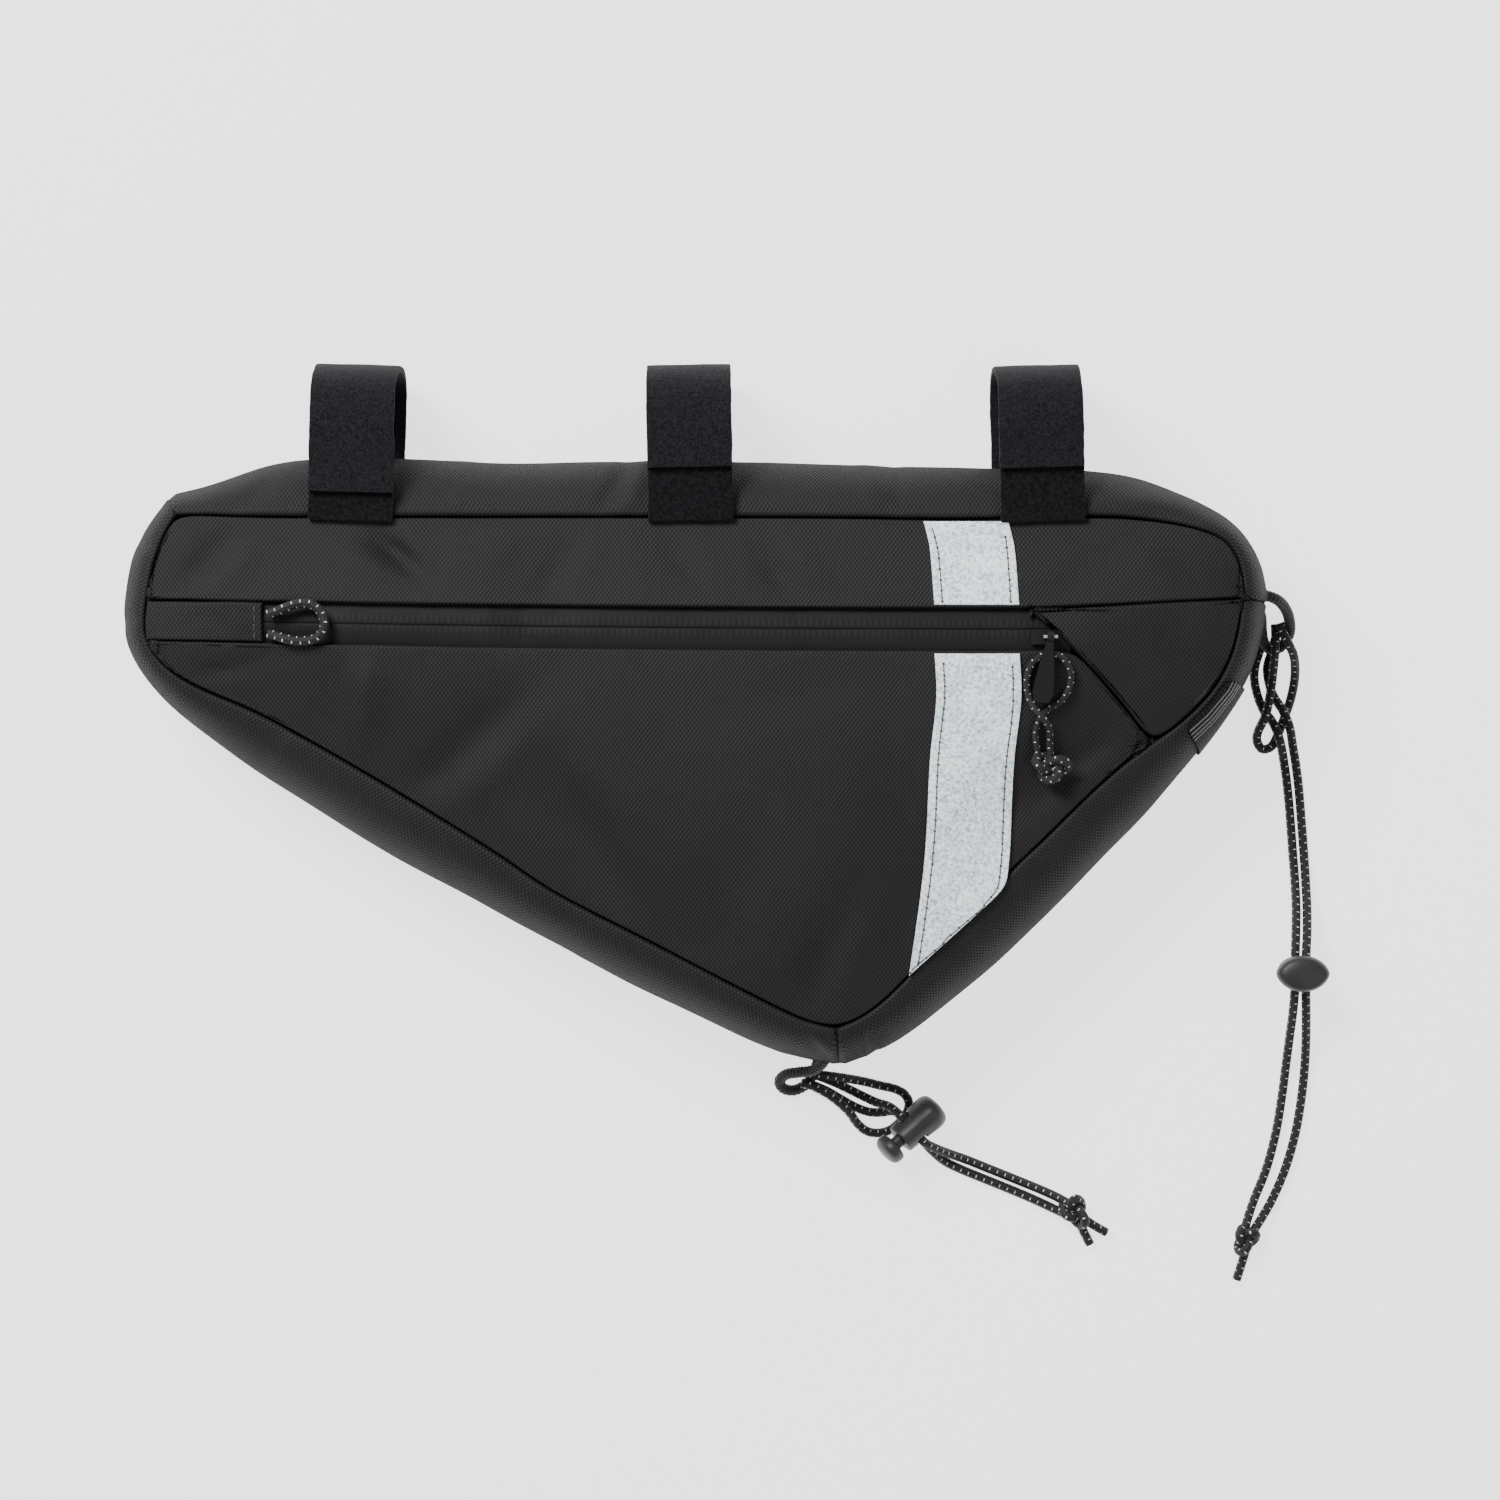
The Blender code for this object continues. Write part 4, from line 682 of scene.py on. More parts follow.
def front_cloth(name, node, finish, folds=(), pucker=0.16, seed=1, levels=2, radius=rolled_edge,
                depth=turned_in):
    """A front panel of cloth from the top face of its solid, with its folds and puckered seams."""
    builder = welded(node)
    bmesh.ops.delete(builder, geom=[f for f in builder.faces if f.normal.z < 0.3], context="FACES")
    to_quads(builder)
    builder = subdivided(builder, levels)
    settle(builder, True, 14)
    points = spots(builder)
    edge = edge_distance(points, [e for e in builder.edges if e.is_boundary])
    lift = pucker * mm * ripple(points, 7.0 * mm, seed) * np.exp(-edge / (5.0 * mm))
    lift += 0.28 * mm * ripple(points, 26.0 * mm, seed + 4)
    soft = np.clip(edge / (9.0 * mm), 0.0, 1.0)
    lift += press_folds(points, folds, np.zeros(len(points))) * soft
    for v, rise in zip(builder.verts, lift):
        v.co.z += rise
    roll_edges(builder, radius, depth)
    unroll(builder, flat_map)
    piece = sewn_piece(name, builder, finish, node)
    declare_cut(piece)
    return piece


# The front: an upper band, the large lower wedge, a corner panel whose slanting edge is folded over
# the zip's end, and a short piece folded over the zip's other end. Folds are x, y, angle, length,
# width and rise, in millimetres and degrees.
upper_folds = (
    (-89.5, 49.0, -42, 11, 3.4, -1.0), (-84.0, 52.0, -60, 8, 3.0, 0.5), (-96.0, 44.0, -30, 10, 4.0, 0.4),
    (-145.0, 44.0, 52, 15, 4.0, -0.6), (-138.0, 40.0, 55, 13, 4.5, 0.4), (-120.0, 47.0, -20, 18, 5.0, -0.3),
    (-43.0, 37.0, 62, 15, 5.0, -0.7), (-36.0, 42.0, 58, 13, 4.5, 0.4), (-52.0, 45.0, 50, 10, 4.5, -0.3),
    (-3.0, 45.7, -48, 12, 4.0, -0.45), (4.0, 42.0, -52, 12, 4.0, 0.3),
    (25.0, 40.0, -58, 12, 4.0, -0.5), (32.0, 44.0, -50, 11, 4.0, 0.3), (120.0, 46.0, 30, 16, 5.0, -0.3),
    (146.0, 42.0, -35, 13, 4.0, -0.5), (104.0, 41.0, 12, 20, 4.0, 0.25),
)
lower_folds = (
    (-98.0, 6.0, 84, 18, 5.0, 0.6), (-106.0, 5.0, 80, 16, 6.0, -0.4), (-69.0, -11.0, 42, 24, 6.0, -0.7),
    (-60.0, -16.0, 44, 22, 6.0, 0.4), (-33.0, -34.0, 122, 26, 8.0, -0.6), (-20.0, -30.0, 118, 24, 8.0, 0.4),
    (-140.0, 13.5, 20, 16, 3.5, -0.4), (10.0, -52.0, 70, 26, 9.0, -0.4), (38.0, -74.0, 66, 18, 6.0, -0.7),
    (46.0, -70.0, 64, 16, 5.0, 0.4), (84.0, -36.0, 50, 26, 5.0, -0.5), (112.0, -16.0, 44, 18, 5.0, -0.5),
    (100.0, -2.0, 60, 14, 5.0, 0.3), (60.0, -20.0, 96, 34, 10.0, -0.35), (28.0, 6.0, 15, 30, 6.0, -0.2),
)
corner_folds = (
    (140.0, 20.0, -48, 18, 4.0, -0.4), (150.0, 24.0, -60, 14, 4.0, 0.3), (126.0, 24.0, -30, 16, 4.0, -0.25),
)
front_cloth("upper_cloth", "front_upper_panel", cloth_finish, upper_folds, seed=1)
front_cloth("lower_cloth", "front_lower_panel", cloth_finish, lower_folds, seed=2)
front_cloth("corner_cloth", "corner_panel", cloth_finish, corner_folds, pucker=0.12, seed=3, radius=1.2 * mm)
garage_folds = (
    (-139.5, 27.0, -50, 6, 2.0, -0.30), (-135.0, 25.0, 55, 5, 2.0, 0.25), (-147.0, 29.0, 30, 6, 2.4, -0.2),
)
garage = front_cloth("garage_cloth", "zip_garage", cloth_finish, garage_folds, pucker=0.14, seed=5, levels=2)


# The side wall: three lengths of the same cloth, joined by cross seams at the top left corner, the
# blunt end and the bottom corner. It is sewn to the front and the back and bulges between them.
wall_axis = 0.45
wall_round = 20.5 * mm
wall_middle = {"gusset_top": 170.0 * mm, "gusset_right": 440.0 * mm, "gusset_left": 660.0 * mm}
wall_folds = {
    "gusset_top": ((-18.0, 66.0, 68, 9, 2.6, 0.8), (-25.0, 67.0, 62, 9, 2.4, -0.7),
                   (127.0, 61.5, 4, 17, 3.6, 1.0), (96.0, 66.0, 80, 8, 3.0, -0.5),
                   (-132.0, 64.0, 40, 9, 3.0, -0.6), (-70.0, 68.0, 86, 8, 3.0, 0.4),
                   (52.0, 67.0, 100, 8, 3.0, 0.5), (60.0, 68.0, 96, 8, 2.6, -0.5)),
    "gusset_right": ((79.0, -62.0, 134, 7, 2.0, 0.6), (74.0, -66.5, 134, 7, 2.0, -0.6),
                     (99.0, -44.0, 132, 7, 2.2, -0.5), (52.6, -96.6, 107, 5.0, 1.5, -0.9),
                     (50.0, -96.6, 107, 5.0, 1.4, 0.5), (166.0, 30.0, 10, 6, 2.2, -0.5)),
    "gusset_left": ((37.6, -101.2, -51, 7, 1.5, -0.8), (40.2, -99.4, -51, 5, 1.8, 0.5),
                    (29.0, -95.0, 60, 7, 2.2, 0.4),
                    (-30.0, -64.0, 62, 8, 2.6, 0.4), (-166.0, 28.0, 4, 7, 2.6, -0.5),
                    (-161.0, 50.0, -20, 7, 2.4, -0.5), (-120.0, -8.0, 60, 8, 3.0, 0.4)),
}


def find_seam():
    """The front seam in order round the bag, from the top left corner, and its height."""
    tops = [v.co for node in ("gusset_top", "gusset_right", "gusset_left")
            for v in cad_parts[node].data.vertices]
    height = max(p.z for p in tops)
    tops = {(round(p.x, 5), round(p.y, 5)) for p in tops if p.z > height - 0.02 * mm}
    middle = np.mean(list(tops), axis=0)
    around = sorted(tops, key=lambda p: -math.atan2(p[1] - middle[1], p[0] - middle[0]))
    first = min(range(len(around)), key=lambda i: math.dist(around[i], (-153.9 * mm, 59.5 * mm)))
    return np.array(around[first:] + around[:first + 1]), height


seam_plan, seam_height = find_seam()
seam_reach = np.concatenate([[0.0], np.cumsum(np.linalg.norm(np.diff(seam_plan, axis=0), axis=1))])


def from_seam(point):
    """The nearest seam point on the floor plan: how far along the seam it is, and the way to the point."""
    place = np.array((point.x, point.y))
    a, b = seam_plan[:-1], seam_plan[1:]
    span = b - a
    share = np.clip(((place - a) * span).sum(axis=1) / np.maximum((span * span).sum(axis=1), 1e-12), 0, 1)
    offset = place - a - span * share[:, None]
    k = int(np.linalg.norm(offset, axis=1).argmin())
    return seam_reach[k] + share[k] * (seam_reach[k + 1] - seam_reach[k]), offset[k]


def wall_map(point, node):
    """Where a point of the side wall lay on its flat strip: along the seam, and down from it."""
    along, offset = from_seam(point)
    along -= seam_reach[-1] * round((along - wall_middle[node]) / seam_reach[-1])
    turn = math.atan2(math.hypot(*offset), point.z - wall_axis * seam_height)
    return along, turn * wall_round


def is_outer(face):
    """Whether a face of the wall's solid looks away from the middle of the wall's round."""
    middle = face.calc_center_median()
    offset = from_seam(middle)[1]
    way = Vector((offset[0], offset[1], middle.z - wall_axis * seam_height))
    return face.normal.dot(way.normalized()) > 0.3


def wall_cloth(name, node, seed):
    """A length of side wall from its solid's outer face."""
    builder = welded(node)
    to_quads(builder)
    bmesh.ops.delete(builder, geom=[f for f in builder.faces if not is_outer(f)], context="FACES")
    builder = subdivided(builder, 3)
    points = spots(builder)
    edge = edge_distance(points, [e for e in builder.edges if e.is_boundary])
    strip = np.array([(*wall_map(v.co, node), 0.0) for v in builder.verts])
    stretched = strip * np.array((1.0, 0.35, 1.0))
    lift = 0.30 * mm * ripple(stretched, 8.0 * mm, seed) * np.exp(-edge / (8.0 * mm))
    lift += 0.40 * mm * ripple(stretched, 26.0 * mm, seed + 5)
    lift += press_folds(points, wall_folds[node], np.zeros(len(points)), height=1.0) * np.clip(edge / (4.0 * mm), 0, 1)
    lift *= np.clip(points[:, 2] / (8.0 * mm), 0.0, 1.0)
    builder.normal_update()
    for v, rise in zip(builder.verts, lift):
        v.co += v.normal * float(rise)
    roll_edges(builder, new_rows=False)
    unroll(builder, lambda point: wall_map(point, node))
    declare_cut(sewn_piece(name, builder, cloth_finish, node))


wall_cloth("top_wall", "gusset_top", 11)
wall_cloth("right_wall", "gusset_right", 12)
wall_cloth("left_wall", "gusset_left", 13)


# The back panel: one flat piece of the same cloth, sewn inside the side wall's lower seam. The bag
# lies on it.
back = welded("back_panel")
unroll(back, flat_map)
declare_cut(sewn_piece("back_cloth", back, cloth_finish, "back_panel"))


# The zip: two tapes with a smooth matt film over them, whose edges meet over the hidden coil. The
# coil's teeth press through the film as two rows of small bumps.
tooth_pitch = 1.75 * mm
tooth_row = 1.55 * mm
film_turn = 0.8 * mm


def zip_film(name, node, way):
    """One half of the zip, with the row of tooth marks along its inner edge."""
    builder = welded(node)
    bmesh.ops.delete(builder, geom=[f for f in builder.faces if f.normal.z < 0.3], context="FACES")
    to_quads(builder)
    for _ in range(2):
        bmesh.ops.subdivide_edges(builder, edges=builder.edges[:], cuts=1, use_grid_fill=True)
    long_edges = [e for e in builder.edges if abs(e.verts[0].co.x - e.verts[1].co.x) > 1.0 * mm]
    bmesh.ops.subdivide_edges(builder, edges=long_edges, cuts=7, use_grid_fill=True)
    short_edges = [e for e in builder.edges if abs(e.verts[0].co.x - e.verts[1].co.x) < 0.05 * mm]
    bmesh.ops.subdivide_edges(builder, edges=short_edges, cuts=4, use_grid_fill=True)
    layer = builder.loops.layers.uv.new("cloth")
    inner_edge = {}
    for v in builder.verts:
        column = round(v.co.x / (0.02 * mm))
        best = inner_edge.get(column)
        if best is None or way * v.co.y < way * best:
            inner_edge[column] = v.co.y
    for v in builder.verts:
        across = way * (v.co.y - inner_edge[round(v.co.x / (0.02 * mm))])
        v.co.y -= way * 0.13 * mm * math.exp(-across / (0.5 * mm))
        beat = math.cos(2.0 * math.pi * (v.co.x / tooth_pitch + (0.25 if way > 0 else -0.25)))
        band = math.exp(-((across - tooth_row) / (1.15 * mm)) ** 4)
        v.co.z -= 0.8 * mm * min(max((across - 2.6 * mm) / (4.0 * mm), 0.0), 1.0) ** 1.5
        v.co.z += (0.055 * mm * beat * band + 0.12 * mm * band
                   - 0.06 * mm * math.exp(-(across / (0.30 * mm)) ** 2))
    for face in builder.faces:
        for loop in face.loops:
            loop[layer].uv = loop.vert.co.xy
    made = bmesh.ops.extrude_edge_only(builder, edges=[e for e in builder.edges if e.is_boundary])["geom"]
    for v in made:
        if isinstance(v, bmesh.types.BMVert):
            v.co.z -= film_turn
    declare_cut(sewn_piece(name, builder, film_finish, node))


def make_film_finish():
    material, tree, shader = new_finish("zip_film", 0.60, specular=0.12)
    grain = clouds(tree, 3000.0)
    patches = clouds(tree, 90.0, 3.0)
    shade = calc(tree, "ADD", calc(tree, "MULTIPLY", grain, 0.35), calc(tree, "MULTIPLY", patches, 0.65))
    tree.links.new(blend_colour(tree, shade, (0.008, 0.0077, 0.0086), (0.019, 0.0182, 0.0202)),
                   shader["Base Color"])
    bump = add_node(tree, "Bump", {"Height": grain, "Distance": 0.02 * mm, "Strength": 0.5})
    tree.links.new(bump, shader["Normal"])
    return material


film_finish = make_film_finish()
zip_film("upper_film", "zip_tape_upper", 1)
zip_film("lower_film", "zip_tape_lower", -1)


# The slider, its bridge and the flat puller that hangs from it: cast metal, the bridge bright and the
# puller coated dark. Their solids have the right shape and keep it.
def make_metal_finish(name, colour, roughness, metallic):
    material, tree, shader = new_finish(name, roughness, metallic=metallic)
    grain = clouds(tree, 1500.0, 3.0)
    shader["Base Color"].default_value = (*colour, 1.0)
    rough = calc(tree, "ADD", calc(tree, "MULTIPLY", grain, 0.16), roughness - 0.08)
    tree.links.new(rough, shader["Roughness"])
    bump = add_node(tree, "Bump", {"Height": grain, "Distance": 0.02 * mm, "Strength": 0.3})
    tree.links.new(bump, shader["Normal"])
    return material


def dress(node, finish):
    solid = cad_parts[node]
    solid.data.materials.clear()
    solid.data.materials.append(finish)


slider_finish = make_metal_finish("slider_metal", (0.03, 0.03, 0.033), 0.32, 0.8)
slider_tree = slider_finish.node_tree
slider_place = slider_tree.nodes.new("ShaderNodeSeparateXYZ")
slider_tree.links.new(add_node(slider_tree, "TexCoord", out=3), slider_place.inputs[0])
# The slider is pale silver over its top 0.9 mm, where its bridge is, and dark below.
bright_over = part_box("zip_slider")[1][2] - 0.9 * mm
pale_top = calc(slider_tree, "GREATER_THAN", slider_place.outputs[2], bright_over)
slider_tree.links.new(blend_colour(slider_tree, pale_top, (0.03, 0.03, 0.033), (0.60, 0.60, 0.61)),
                      slider_tree.nodes["Principled BSDF"].inputs["Base Color"])
dress("zip_slider", slider_finish)
dress("zip_puller", make_metal_finish("dark_metal", (0.02, 0.02, 0.023), 0.34, 0.7))


# The pull: a braided cord through the puller, laid in a ring and tied in a fat knot that the fingers
# hold. It swings with the puller.
pull_width = 2.0 * mm
pull_route = [
    (101.2, -12.2, 52.2), (100.4, -8.2, 52.9), (100.2, -5.0, 53.1), (101.4, -0.9, 53.9), (104.0, 2.0, 53.9),
    (108.0, 4.6, 53.6), (110.3, 9.0, 54.1), (110.2, 13.6, 54.8), (107.6, 17.2, 55.4),
    (103.6, 18.0, 55.7), (99.6, 15.8, 55.8), (97.6, 11.4, 55.6), (97.8, 6.4, 55.3),
    (99.6, 2.2, 56.1), (102.2, -0.8, 56.4), (104.2, -4.0, 54.2), (104.4, -8.2, 52.3),
    (104.8, -12.4, 52.2),
]
pull_finish = make_cord_finish("pull_cord", math.pi * pull_width, 1.2 * mm, 2.9 * mm, share=0.12)
ring, ring_line = braided("pull_ring", pull_route, pull_width, pull_finish, "pull_cord", "puller")
knot_middle = Vector((104.8, -15.2, 52.4))
pull_turns = smooth_line(knot_route(knot_middle, (4.6, 3.3, 1.5), -12.0), 0.5 * mm, closed=True)
pull_knot = cord_mesh("pull_knot_tied", pull_turns, 1.35 * mm)
pull_knot.data.materials.append(pull_finish)
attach(pull_knot, "puller")
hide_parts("pull_knot")


# The stop: a short loop of the shock cord, sewn under the fold at the zip's closed end.
stop_route = [
    (-125.6, 29.9, 53.0), (-123.0, 30.6, 53.7), (-120.2, 31.8, 54.5), (-116.4, 32.9, 54.4),
    (-112.9, 32.6, 54.5), (-110.0, 30.4, 54.8), (-108.8, 27.2, 55.4), (-109.6, 24.2, 55.1),
    (-112.2, 22.3, 54.6), (-116.4, 21.8, 54.2), (-120.2, 22.4, 53.9), (-123.0, 23.3, 52.8),
    (-125.6, 24.0, 52.0),
]
stop, stop_line = braided("stop_loop", stop_route, elastic_width, elastic_finish, "stop_cord")


# The reflective band: smooth silvery tape, 25 mm wide, laid on the front above and below the zip and
# sewn down along both edges with grey thread.
def make_reflective_finish():
    material, tree, shader = new_finish("reflective_tape", 0.40, specular=0.5)
    beads = clouds(tree, 3000.0)
    patches = clouds(tree, 110.0, 4.0)
    # Bright grains in the tape's colour are painted glints. The soft patches are its own uneven tone.
    painted_glints = clouds(tree, 900.0, 3.0, 0.8)
    shade = calc(tree, "ADD", calc(tree, "MULTIPLY", painted_glints, 3.6), calc(tree, "MULTIPLY", patches, 0.8))
    shade = calc(tree, "SUBTRACT", shade, 1.6, clamp=True)
    silver_and_painted_glints = blend_colour(tree, shade, (0.22, 0.33, 0.44), (0.95, 1.0, 1.0))
    tree.links.new(silver_and_painted_glints, shader["Base Color"])
    # The tape also emits its own colour: a painted glow.
    tree.links.new(silver_and_painted_glints, shader["Emission Color"])
    shader["Emission Strength"].default_value = 0.45
    bump = add_node(tree, "Bump", {"Height": beads, "Distance": 0.02 * mm, "Strength": 0.4})
    tree.links.new(bump, shader["Normal"])
    return material


reflective_finish = make_reflective_finish()
band_reach = 1.0 * mm
band_folds = (
    (82.5, 47.5, -42, 10, 3.0, -0.35), (86.5, 51.0, -38, 8, 2.6, 0.25), (90.5, -18.0, 10, 8, 4.5, -0.35),
    (90.0, -44.0, -30, 8, 4.0, -0.3), (79.0, 8.0, 75, 9, 3.0, -0.2), (84.0, -34.0, 60, 9, 3.0, 0.25),
)
band_top = front_cloth("upper_band", "tape_upper", reflective_finish, band_folds, pucker=0.10, seed=21,
                       levels=3, radius=0.35 * mm, depth=0.5 * mm)
band_head = max(v.co.y for v in band_top.data.vertices)
for v in band_top.data.vertices:
    v.co.y += band_reach * max(0.0, 1.0 - (band_head - v.co.y) / (4.0 * mm))
band_low = front_cloth("lower_band", "tape_lower", reflective_finish, band_folds, pucker=0.10, seed=22,
                       levels=3, radius=0.35 * mm, depth=0.5 * mm)


def dropped_on(line, piece, lift):
    """A line on the floor plan laid on a piece's upper side."""
    builder = bmesh.new()
    builder.from_mesh(piece.data)
    tree = BVHTree.FromBMesh(builder)
    builder.free()
    laid = []
    for x, y in line:
        hit = tree.ray_cast(Vector((x, y, 0.2)), Vector((0.0, 0.0, -1.0)))[0]
        if hit:
            laid.append(Vector((x, y, hit.z + lift)))
    return laid


def stitch_row(name, line, pitch, length, radius, finish, body="bag", first=0.0):
    """A row of stitches along a line: short arcs of thread whose ends sink into the cloth."""
    reach = np.cumsum([0.0] + [(b - a).length for a, b in zip(line, line[1:])])
    table = np.array(line)
    builder = bmesh.new()
    for start in np.arange(first, reach[-1] - length, pitch):
        rings = []
        for share in np.linspace(0.0, 1.0, 6):
            s = start + length * share
            spot = Vector([np.interp(s, reach, table[:, k]) for k in range(3)])
            ahead = Vector([np.interp(s + 0.1 * mm, reach, table[:, k]) for k in range(3)])
            before = Vector([np.interp(s - 0.1 * mm, reach, table[:, k]) for k in range(3)])
            along = (ahead - before).normalized()
            across = along.cross(Vector((0.0, 0.0, 1.0))).normalized()
            up = across.cross(along)
            spot += up * radius * (math.sin(math.pi * share) * 1.6 - 0.9)
            rings.append([builder.verts.new(spot + (across * math.cos(t) + up * math.sin(t)) * radius)
                          for t in np.linspace(0.0, 2.0 * math.pi, 7, endpoint=False)])
        for a, b in zip(rings, rings[1:]):
            for k in range(7):
                builder.faces.new((a[k], a[(k + 1) % 7], b[(k + 1) % 7], b[k])).smooth = True
    row = add_mesh(name, builder)
    row.data.materials.append(finish)
    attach(row, body)
    return row


def make_thread_finish(name, dark, pale):
    material, tree, shader = new_finish(name, 0.6, specular=0.4, sheen=0.2)
    twist = clouds(tree, 2500.0)
    tree.links.new(blend_colour(tree, twist, dark, pale), shader["Base Color"])
    return material


grey_thread = make_thread_finish("grey_thread", (0.07, 0.065, 0.06), (0.19, 0.18, 0.17))
black_thread = make_thread_finish("black_thread", (0.012, 0.012, 0.013), (0.05, 0.05, 0.052))
stitch_pitch = 3.3 * mm
stitch_length = 2.9 * mm
thread_radius = 0.21 * mm
hole_length = 0.75 * mm
hole_radius = 0.36 * mm
band_stitch_inset = 2.5 * mm


def side_edges(piece, inset):
    """Two lines down a band, this far inside its left and right edges."""
    points = np.array([v.co for v in piece.data.vertices])
    low, high = points[:, 1].min() + 0.6 * mm, points[:, 1].max() - 0.4 * mm
    left, right = [], []
    for y in np.arange(low, high, 1.5 * mm):
        row = points[np.abs(points[:, 1] - y) < 2.0 * mm]
        left.append((row[:, 0].min() + inset, y))
        right.append((row[:, 0].max() - inset, y))
    return left, right


for label, band in (("upper", band_top), ("lower", band_low)):
    for side, line in zip(("left", "right"), side_edges(band, band_stitch_inset)):
        laid = dropped_on(line, band, 0.0)
        stitch_row(f"{label}_band_{side}_stitches", laid, stitch_pitch, stitch_length, thread_radius,
                   grey_thread, first=0.6 * mm)
        stitch_row(f"{label}_band_{side}_holes", laid, stitch_pitch, hole_length, hole_radius,
                   black_thread, first=0.0)


garage_stitch_x = -129.8 * mm
garage_line = [(garage_stitch_x, y) for y in np.arange(22.4 * mm, 32.6 * mm, 0.5 * mm)]
stitch_row("garage_stitches", dropped_on(garage_line, garage, 0.0), 2.6 * mm, 2.0 * mm, thread_radius,
           black_thread)


# The straps: three lengths of black hook-and-loop webbing. Each is sewn into the top seam, goes round
# the bicycle's tube, and closes on a hook tab that is sewn to the front.
def make_nap_finish(name, dark, pale, scale, relief):
    material, tree, shader = new_finish(name, 0.95, specular=0.08, sheen=0.04)
    fuzz = clouds(tree, scale, 4.0, 0.75)
    tufts = clouds(tree, scale * 0.4)
    height = calc(tree, "ADD", calc(tree, "MULTIPLY", fuzz, 0.6), calc(tree, "MULTIPLY", tufts, 0.4))
    shade = calc(tree, "ADD", calc(tree, "MULTIPLY", fuzz, 3.0), -1.0, clamp=True)
    tree.links.new(blend_colour(tree, shade, dark, pale), shader["Base Color"])
    bump = add_node(tree, "Bump", {"Height": height, "Distance": relief, "Strength": 1.0})
    tree.links.new(bump, shader["Normal"])
    return material


loop_finish = make_nap_finish("loop_nap", (0.002, 0.0017, 0.0024), (0.022, 0.020, 0.025), 1300.0, 0.35 * mm)
hook_finish = make_nap_finish("hook_nap", (0.0006, 0.0005, 0.0008), (0.012, 0.011, 0.0135), 900.0, 0.30 * mm)


def strap_piece(name, node, finish, seed):
    """A strap or tab from its solid, with rounded edges and a slightly uneven face."""
    builder = welded(node)
    to_quads(builder)
    sharp = [e for e in builder.edges if len(e.link_faces) == 2 and e.calc_face_angle(0.0) > 1.0]
    bmesh.ops.bevel(builder, geom=sharp, offset=0.35 * mm, offset_type="OFFSET", segments=2, profile=0.6,
                    affect="EDGES", clamp_overlap=True)
    builder = subdivided(builder, 2)
    points = spots(builder)
    lift = 0.22 * mm * ripple(points, 9.0 * mm, seed) + 0.12 * mm * ripple(points, 2.2 * mm, seed + 3)
    builder.normal_update()
    for v, rise in zip(builder.verts, lift):
        v.co += v.normal * float(rise)
    unroll(builder, flat_map)
    piece = sewn_piece(name, builder, finish, node)


for number, place in enumerate(("left", "middle", "right")):
    strap_piece(f"{place}_strap", f"strap_{place}", loop_finish, 31 + number)
    strap_piece(f"{place}_tab", f"tab_{place}", hook_finish, 41 + number)


# The keeper: a short length of ribbed webbing with four pale threads, sewn across the side wall near
# the blunt end.
line_pitch = 1.1 * mm


def make_webbing_finish():
    material, tree, shader = new_finish("ribbed_webbing", 0.75, specular=0.15)
    place = add_node(tree, "UVMap", uv_map="cloth")
    parts = tree.nodes.new("ShaderNodeSeparateXYZ")
    tree.links.new(place, parts.inputs[0])
    ribs = calc(tree, "SINE", calc(tree, "MULTIPLY", parts.outputs[0], 2.0 * math.pi / (1.15 * mm)))
    ribs = calc(tree, "ADD", calc(tree, "MULTIPLY", ribs, 0.5), 0.5)
    step = calc(tree, "FRACT", calc(tree, "DIVIDE", parts.outputs[1], line_pitch))
    line = calc(tree, "LESS_THAN", calc(tree, "ABSOLUTE", calc(tree, "SUBTRACT", step, 0.5)), 0.14)
    middle = calc(tree, "ABSOLUTE", calc(tree, "SUBTRACT", parts.outputs[1], 4.0 * line_pitch))
    line = calc(tree, "MULTIPLY", line, calc(tree, "LESS_THAN", middle, 2.0 * line_pitch))
    # Colour from the ribs' height: a painted highlight on the crests and painted shade in the grooves between them.
    black = blend_colour(tree, ribs, (0.002, 0.002, 0.0025), (0.018, 0.018, 0.019))
    colour = add_node(tree, "Mix", (line, black, (0.22, 0.22, 0.22, 1.0)),
                      data_type="RGBA", out=2)
    tree.links.new(colour, shader["Base Color"])
    bump = add_node(tree, "Bump", {"Height": ribs, "Distance": 0.3 * mm, "Strength": 1.0})
    tree.links.new(bump, shader["Normal"])
    return material


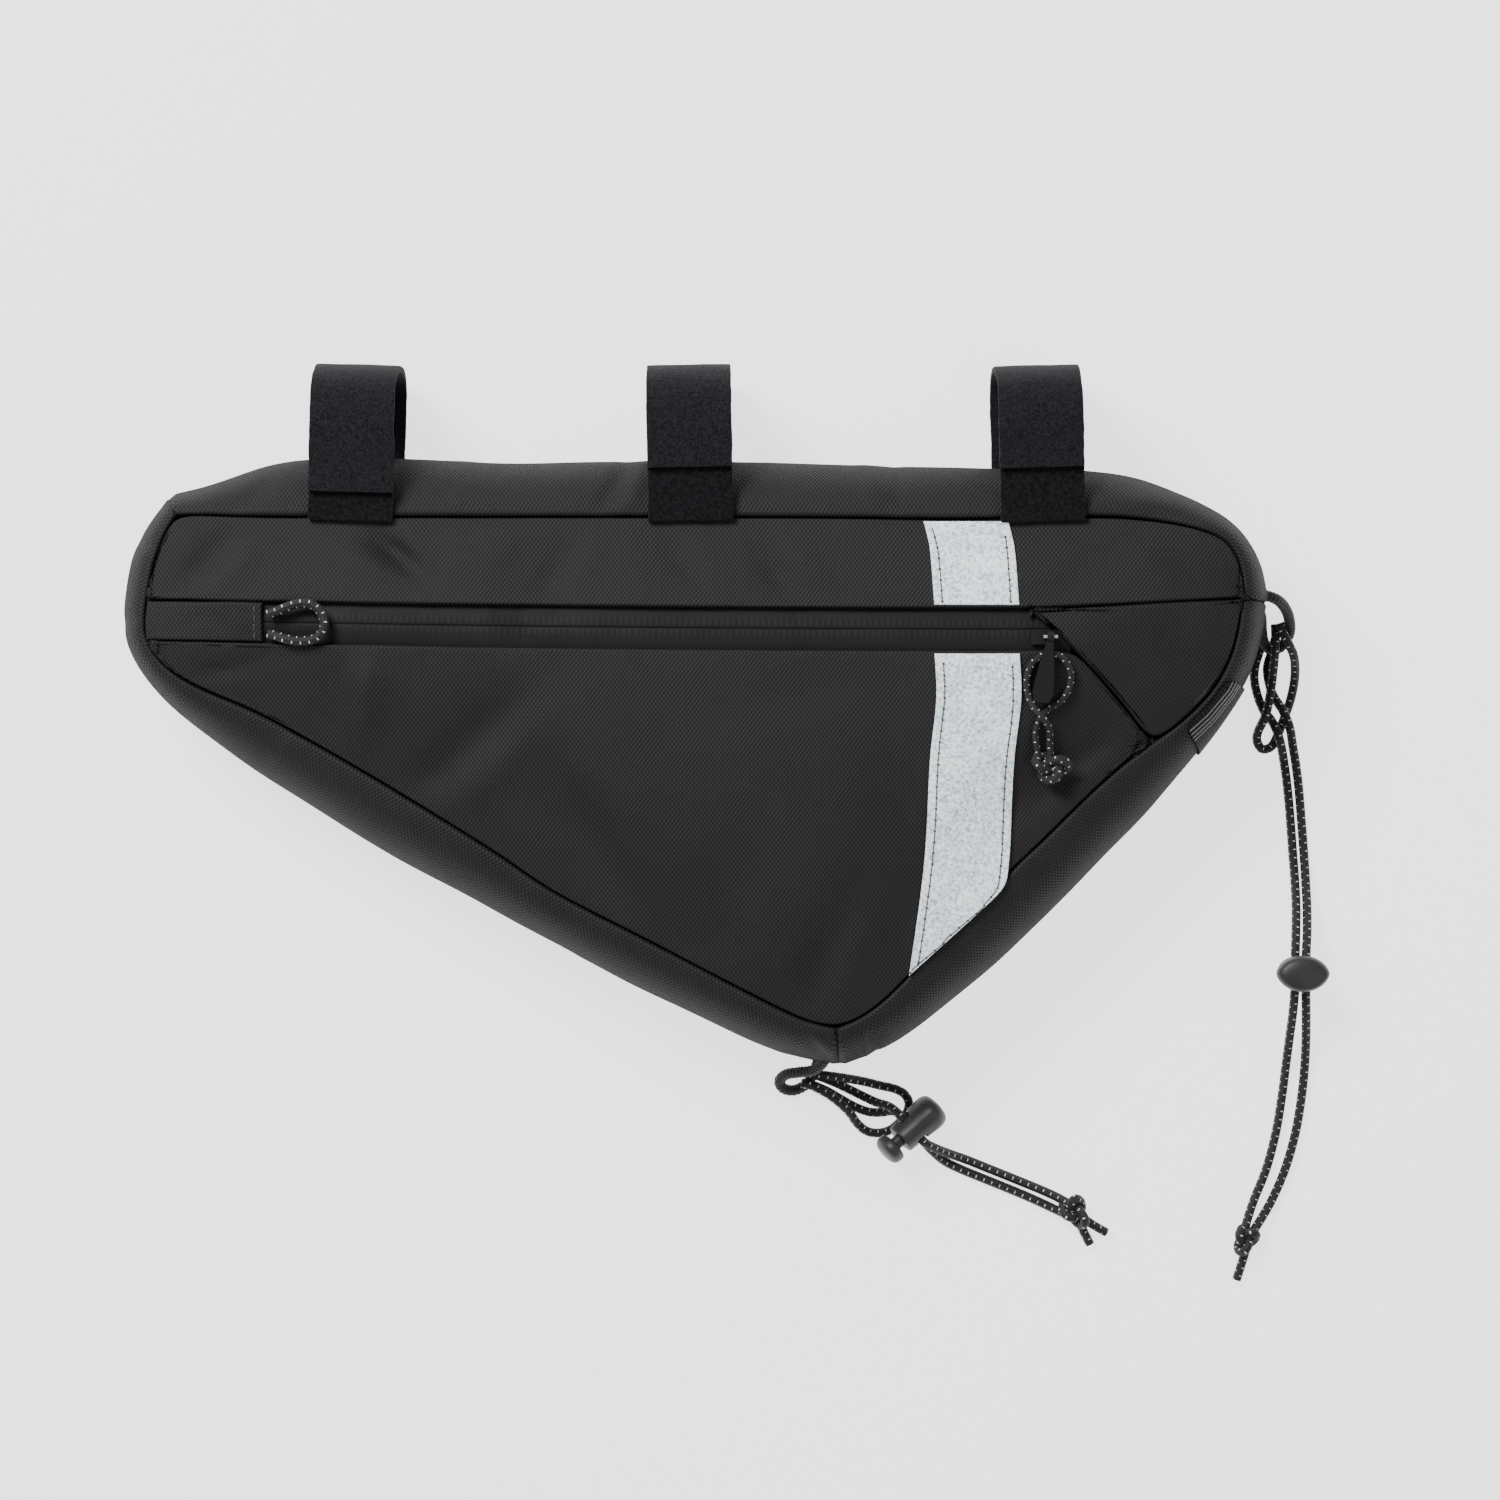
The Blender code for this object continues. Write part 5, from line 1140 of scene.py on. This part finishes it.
keeper_start = 1.4 * mm
keeper_lift = 1.0 * mm
keeper_slide = 6.9 * mm
keeper_clear = 0.9 * mm
keeper = welded("webbing_keeper")
to_quads(keeper)
crest = max(v.co.z for v in keeper.verts)
for v in keeper.verts:
    if v.co.z > crest - 2.2 * mm:
        offset = from_seam(v.co)[1]
        away = math.hypot(*offset)
        v.co.x -= offset[0] * (1.0 - keeper_start / away)
        v.co.y -= offset[1] * (1.0 - keeper_start / away)
        v.co.z += keeper_lift
for v in keeper.verts:
    along, offset = from_seam(v.co)
    ends = [np.array([np.interp(along - keeper_slide + step, seam_reach, seam_plan[:, k]) for k in (0, 1)])
            for step in (-2.0 * mm, 0.0, 2.0 * mm)]
    run = ends[2] - ends[0]
    v.co.xy = ends[1] + np.array([-run[1], run[0]]) / np.linalg.norm(run) * math.hypot(*offset)
keeper = subdivided(keeper, 3)
wall_tree = BVHTree.FromObject(bpy.data.objects["right_wall"], bpy.context.evaluated_depsgraph_get())
for v in keeper.verts:
    place, normal = wall_tree.find_nearest(v.co)[:2]
    v.co = place + normal * keeper_clear
unroll(keeper, lambda point: wall_map(point, "gusset_right"))
declare_cut(sewn_piece("keeper_webbing", keeper, make_webbing_finish(), "webbing_keeper"))


# The studio: a pale sweep under a large soft light at the upper left and an even fill.
def make_sweep():
    builder = bmesh.new()
    bmesh.ops.create_grid(builder, x_segments=1, y_segments=1, size=3.0)
    for v in builder.verts:
        v.co.z = -0.05 * mm
    sweep = add_mesh("sweep", builder)
    material, tree, shader = new_finish("sweep_paper", 0.9, specular=0.1)
    shader["Base Color"].default_value = (0.55, 0.55, 0.55, 1.0)
    shader["Emission Color"].default_value = (1.0, 1.0, 1.0, 1.0)
    shader["Emission Strength"].default_value = 2.0
    sweep.data.materials.append(material)


make_sweep()


def soft_light(name, place, size, power, target=(0.0, 0.0, 0.0)):
    light = bpy.data.lights.new(name, "AREA")
    light.shape = "DISK"
    light.size = size
    light.energy = power
    lamp = bpy.data.objects.new(name, light)
    lamp.location = place
    lamp.rotation_euler = (Vector(target) - Vector(place)).to_track_quat("-Z", "Y").to_euler()
    bpy.context.scene.collection.objects.link(lamp)


soft_light("key", (-0.70, 0.85, 1.20), 0.7, 33.0)
soft_light("fill", (0.9, -0.6, 1.4), 1.4, 5.0)
sky = bpy.data.worlds.new("studio")
sky.use_nodes = True
sky.node_tree.nodes["Background"].inputs["Color"].default_value = (1.0, 1.0, 1.0, 1.0)
sky.node_tree.nodes["Background"].inputs["Strength"].default_value = 0.45
bpy.context.scene.world = sky
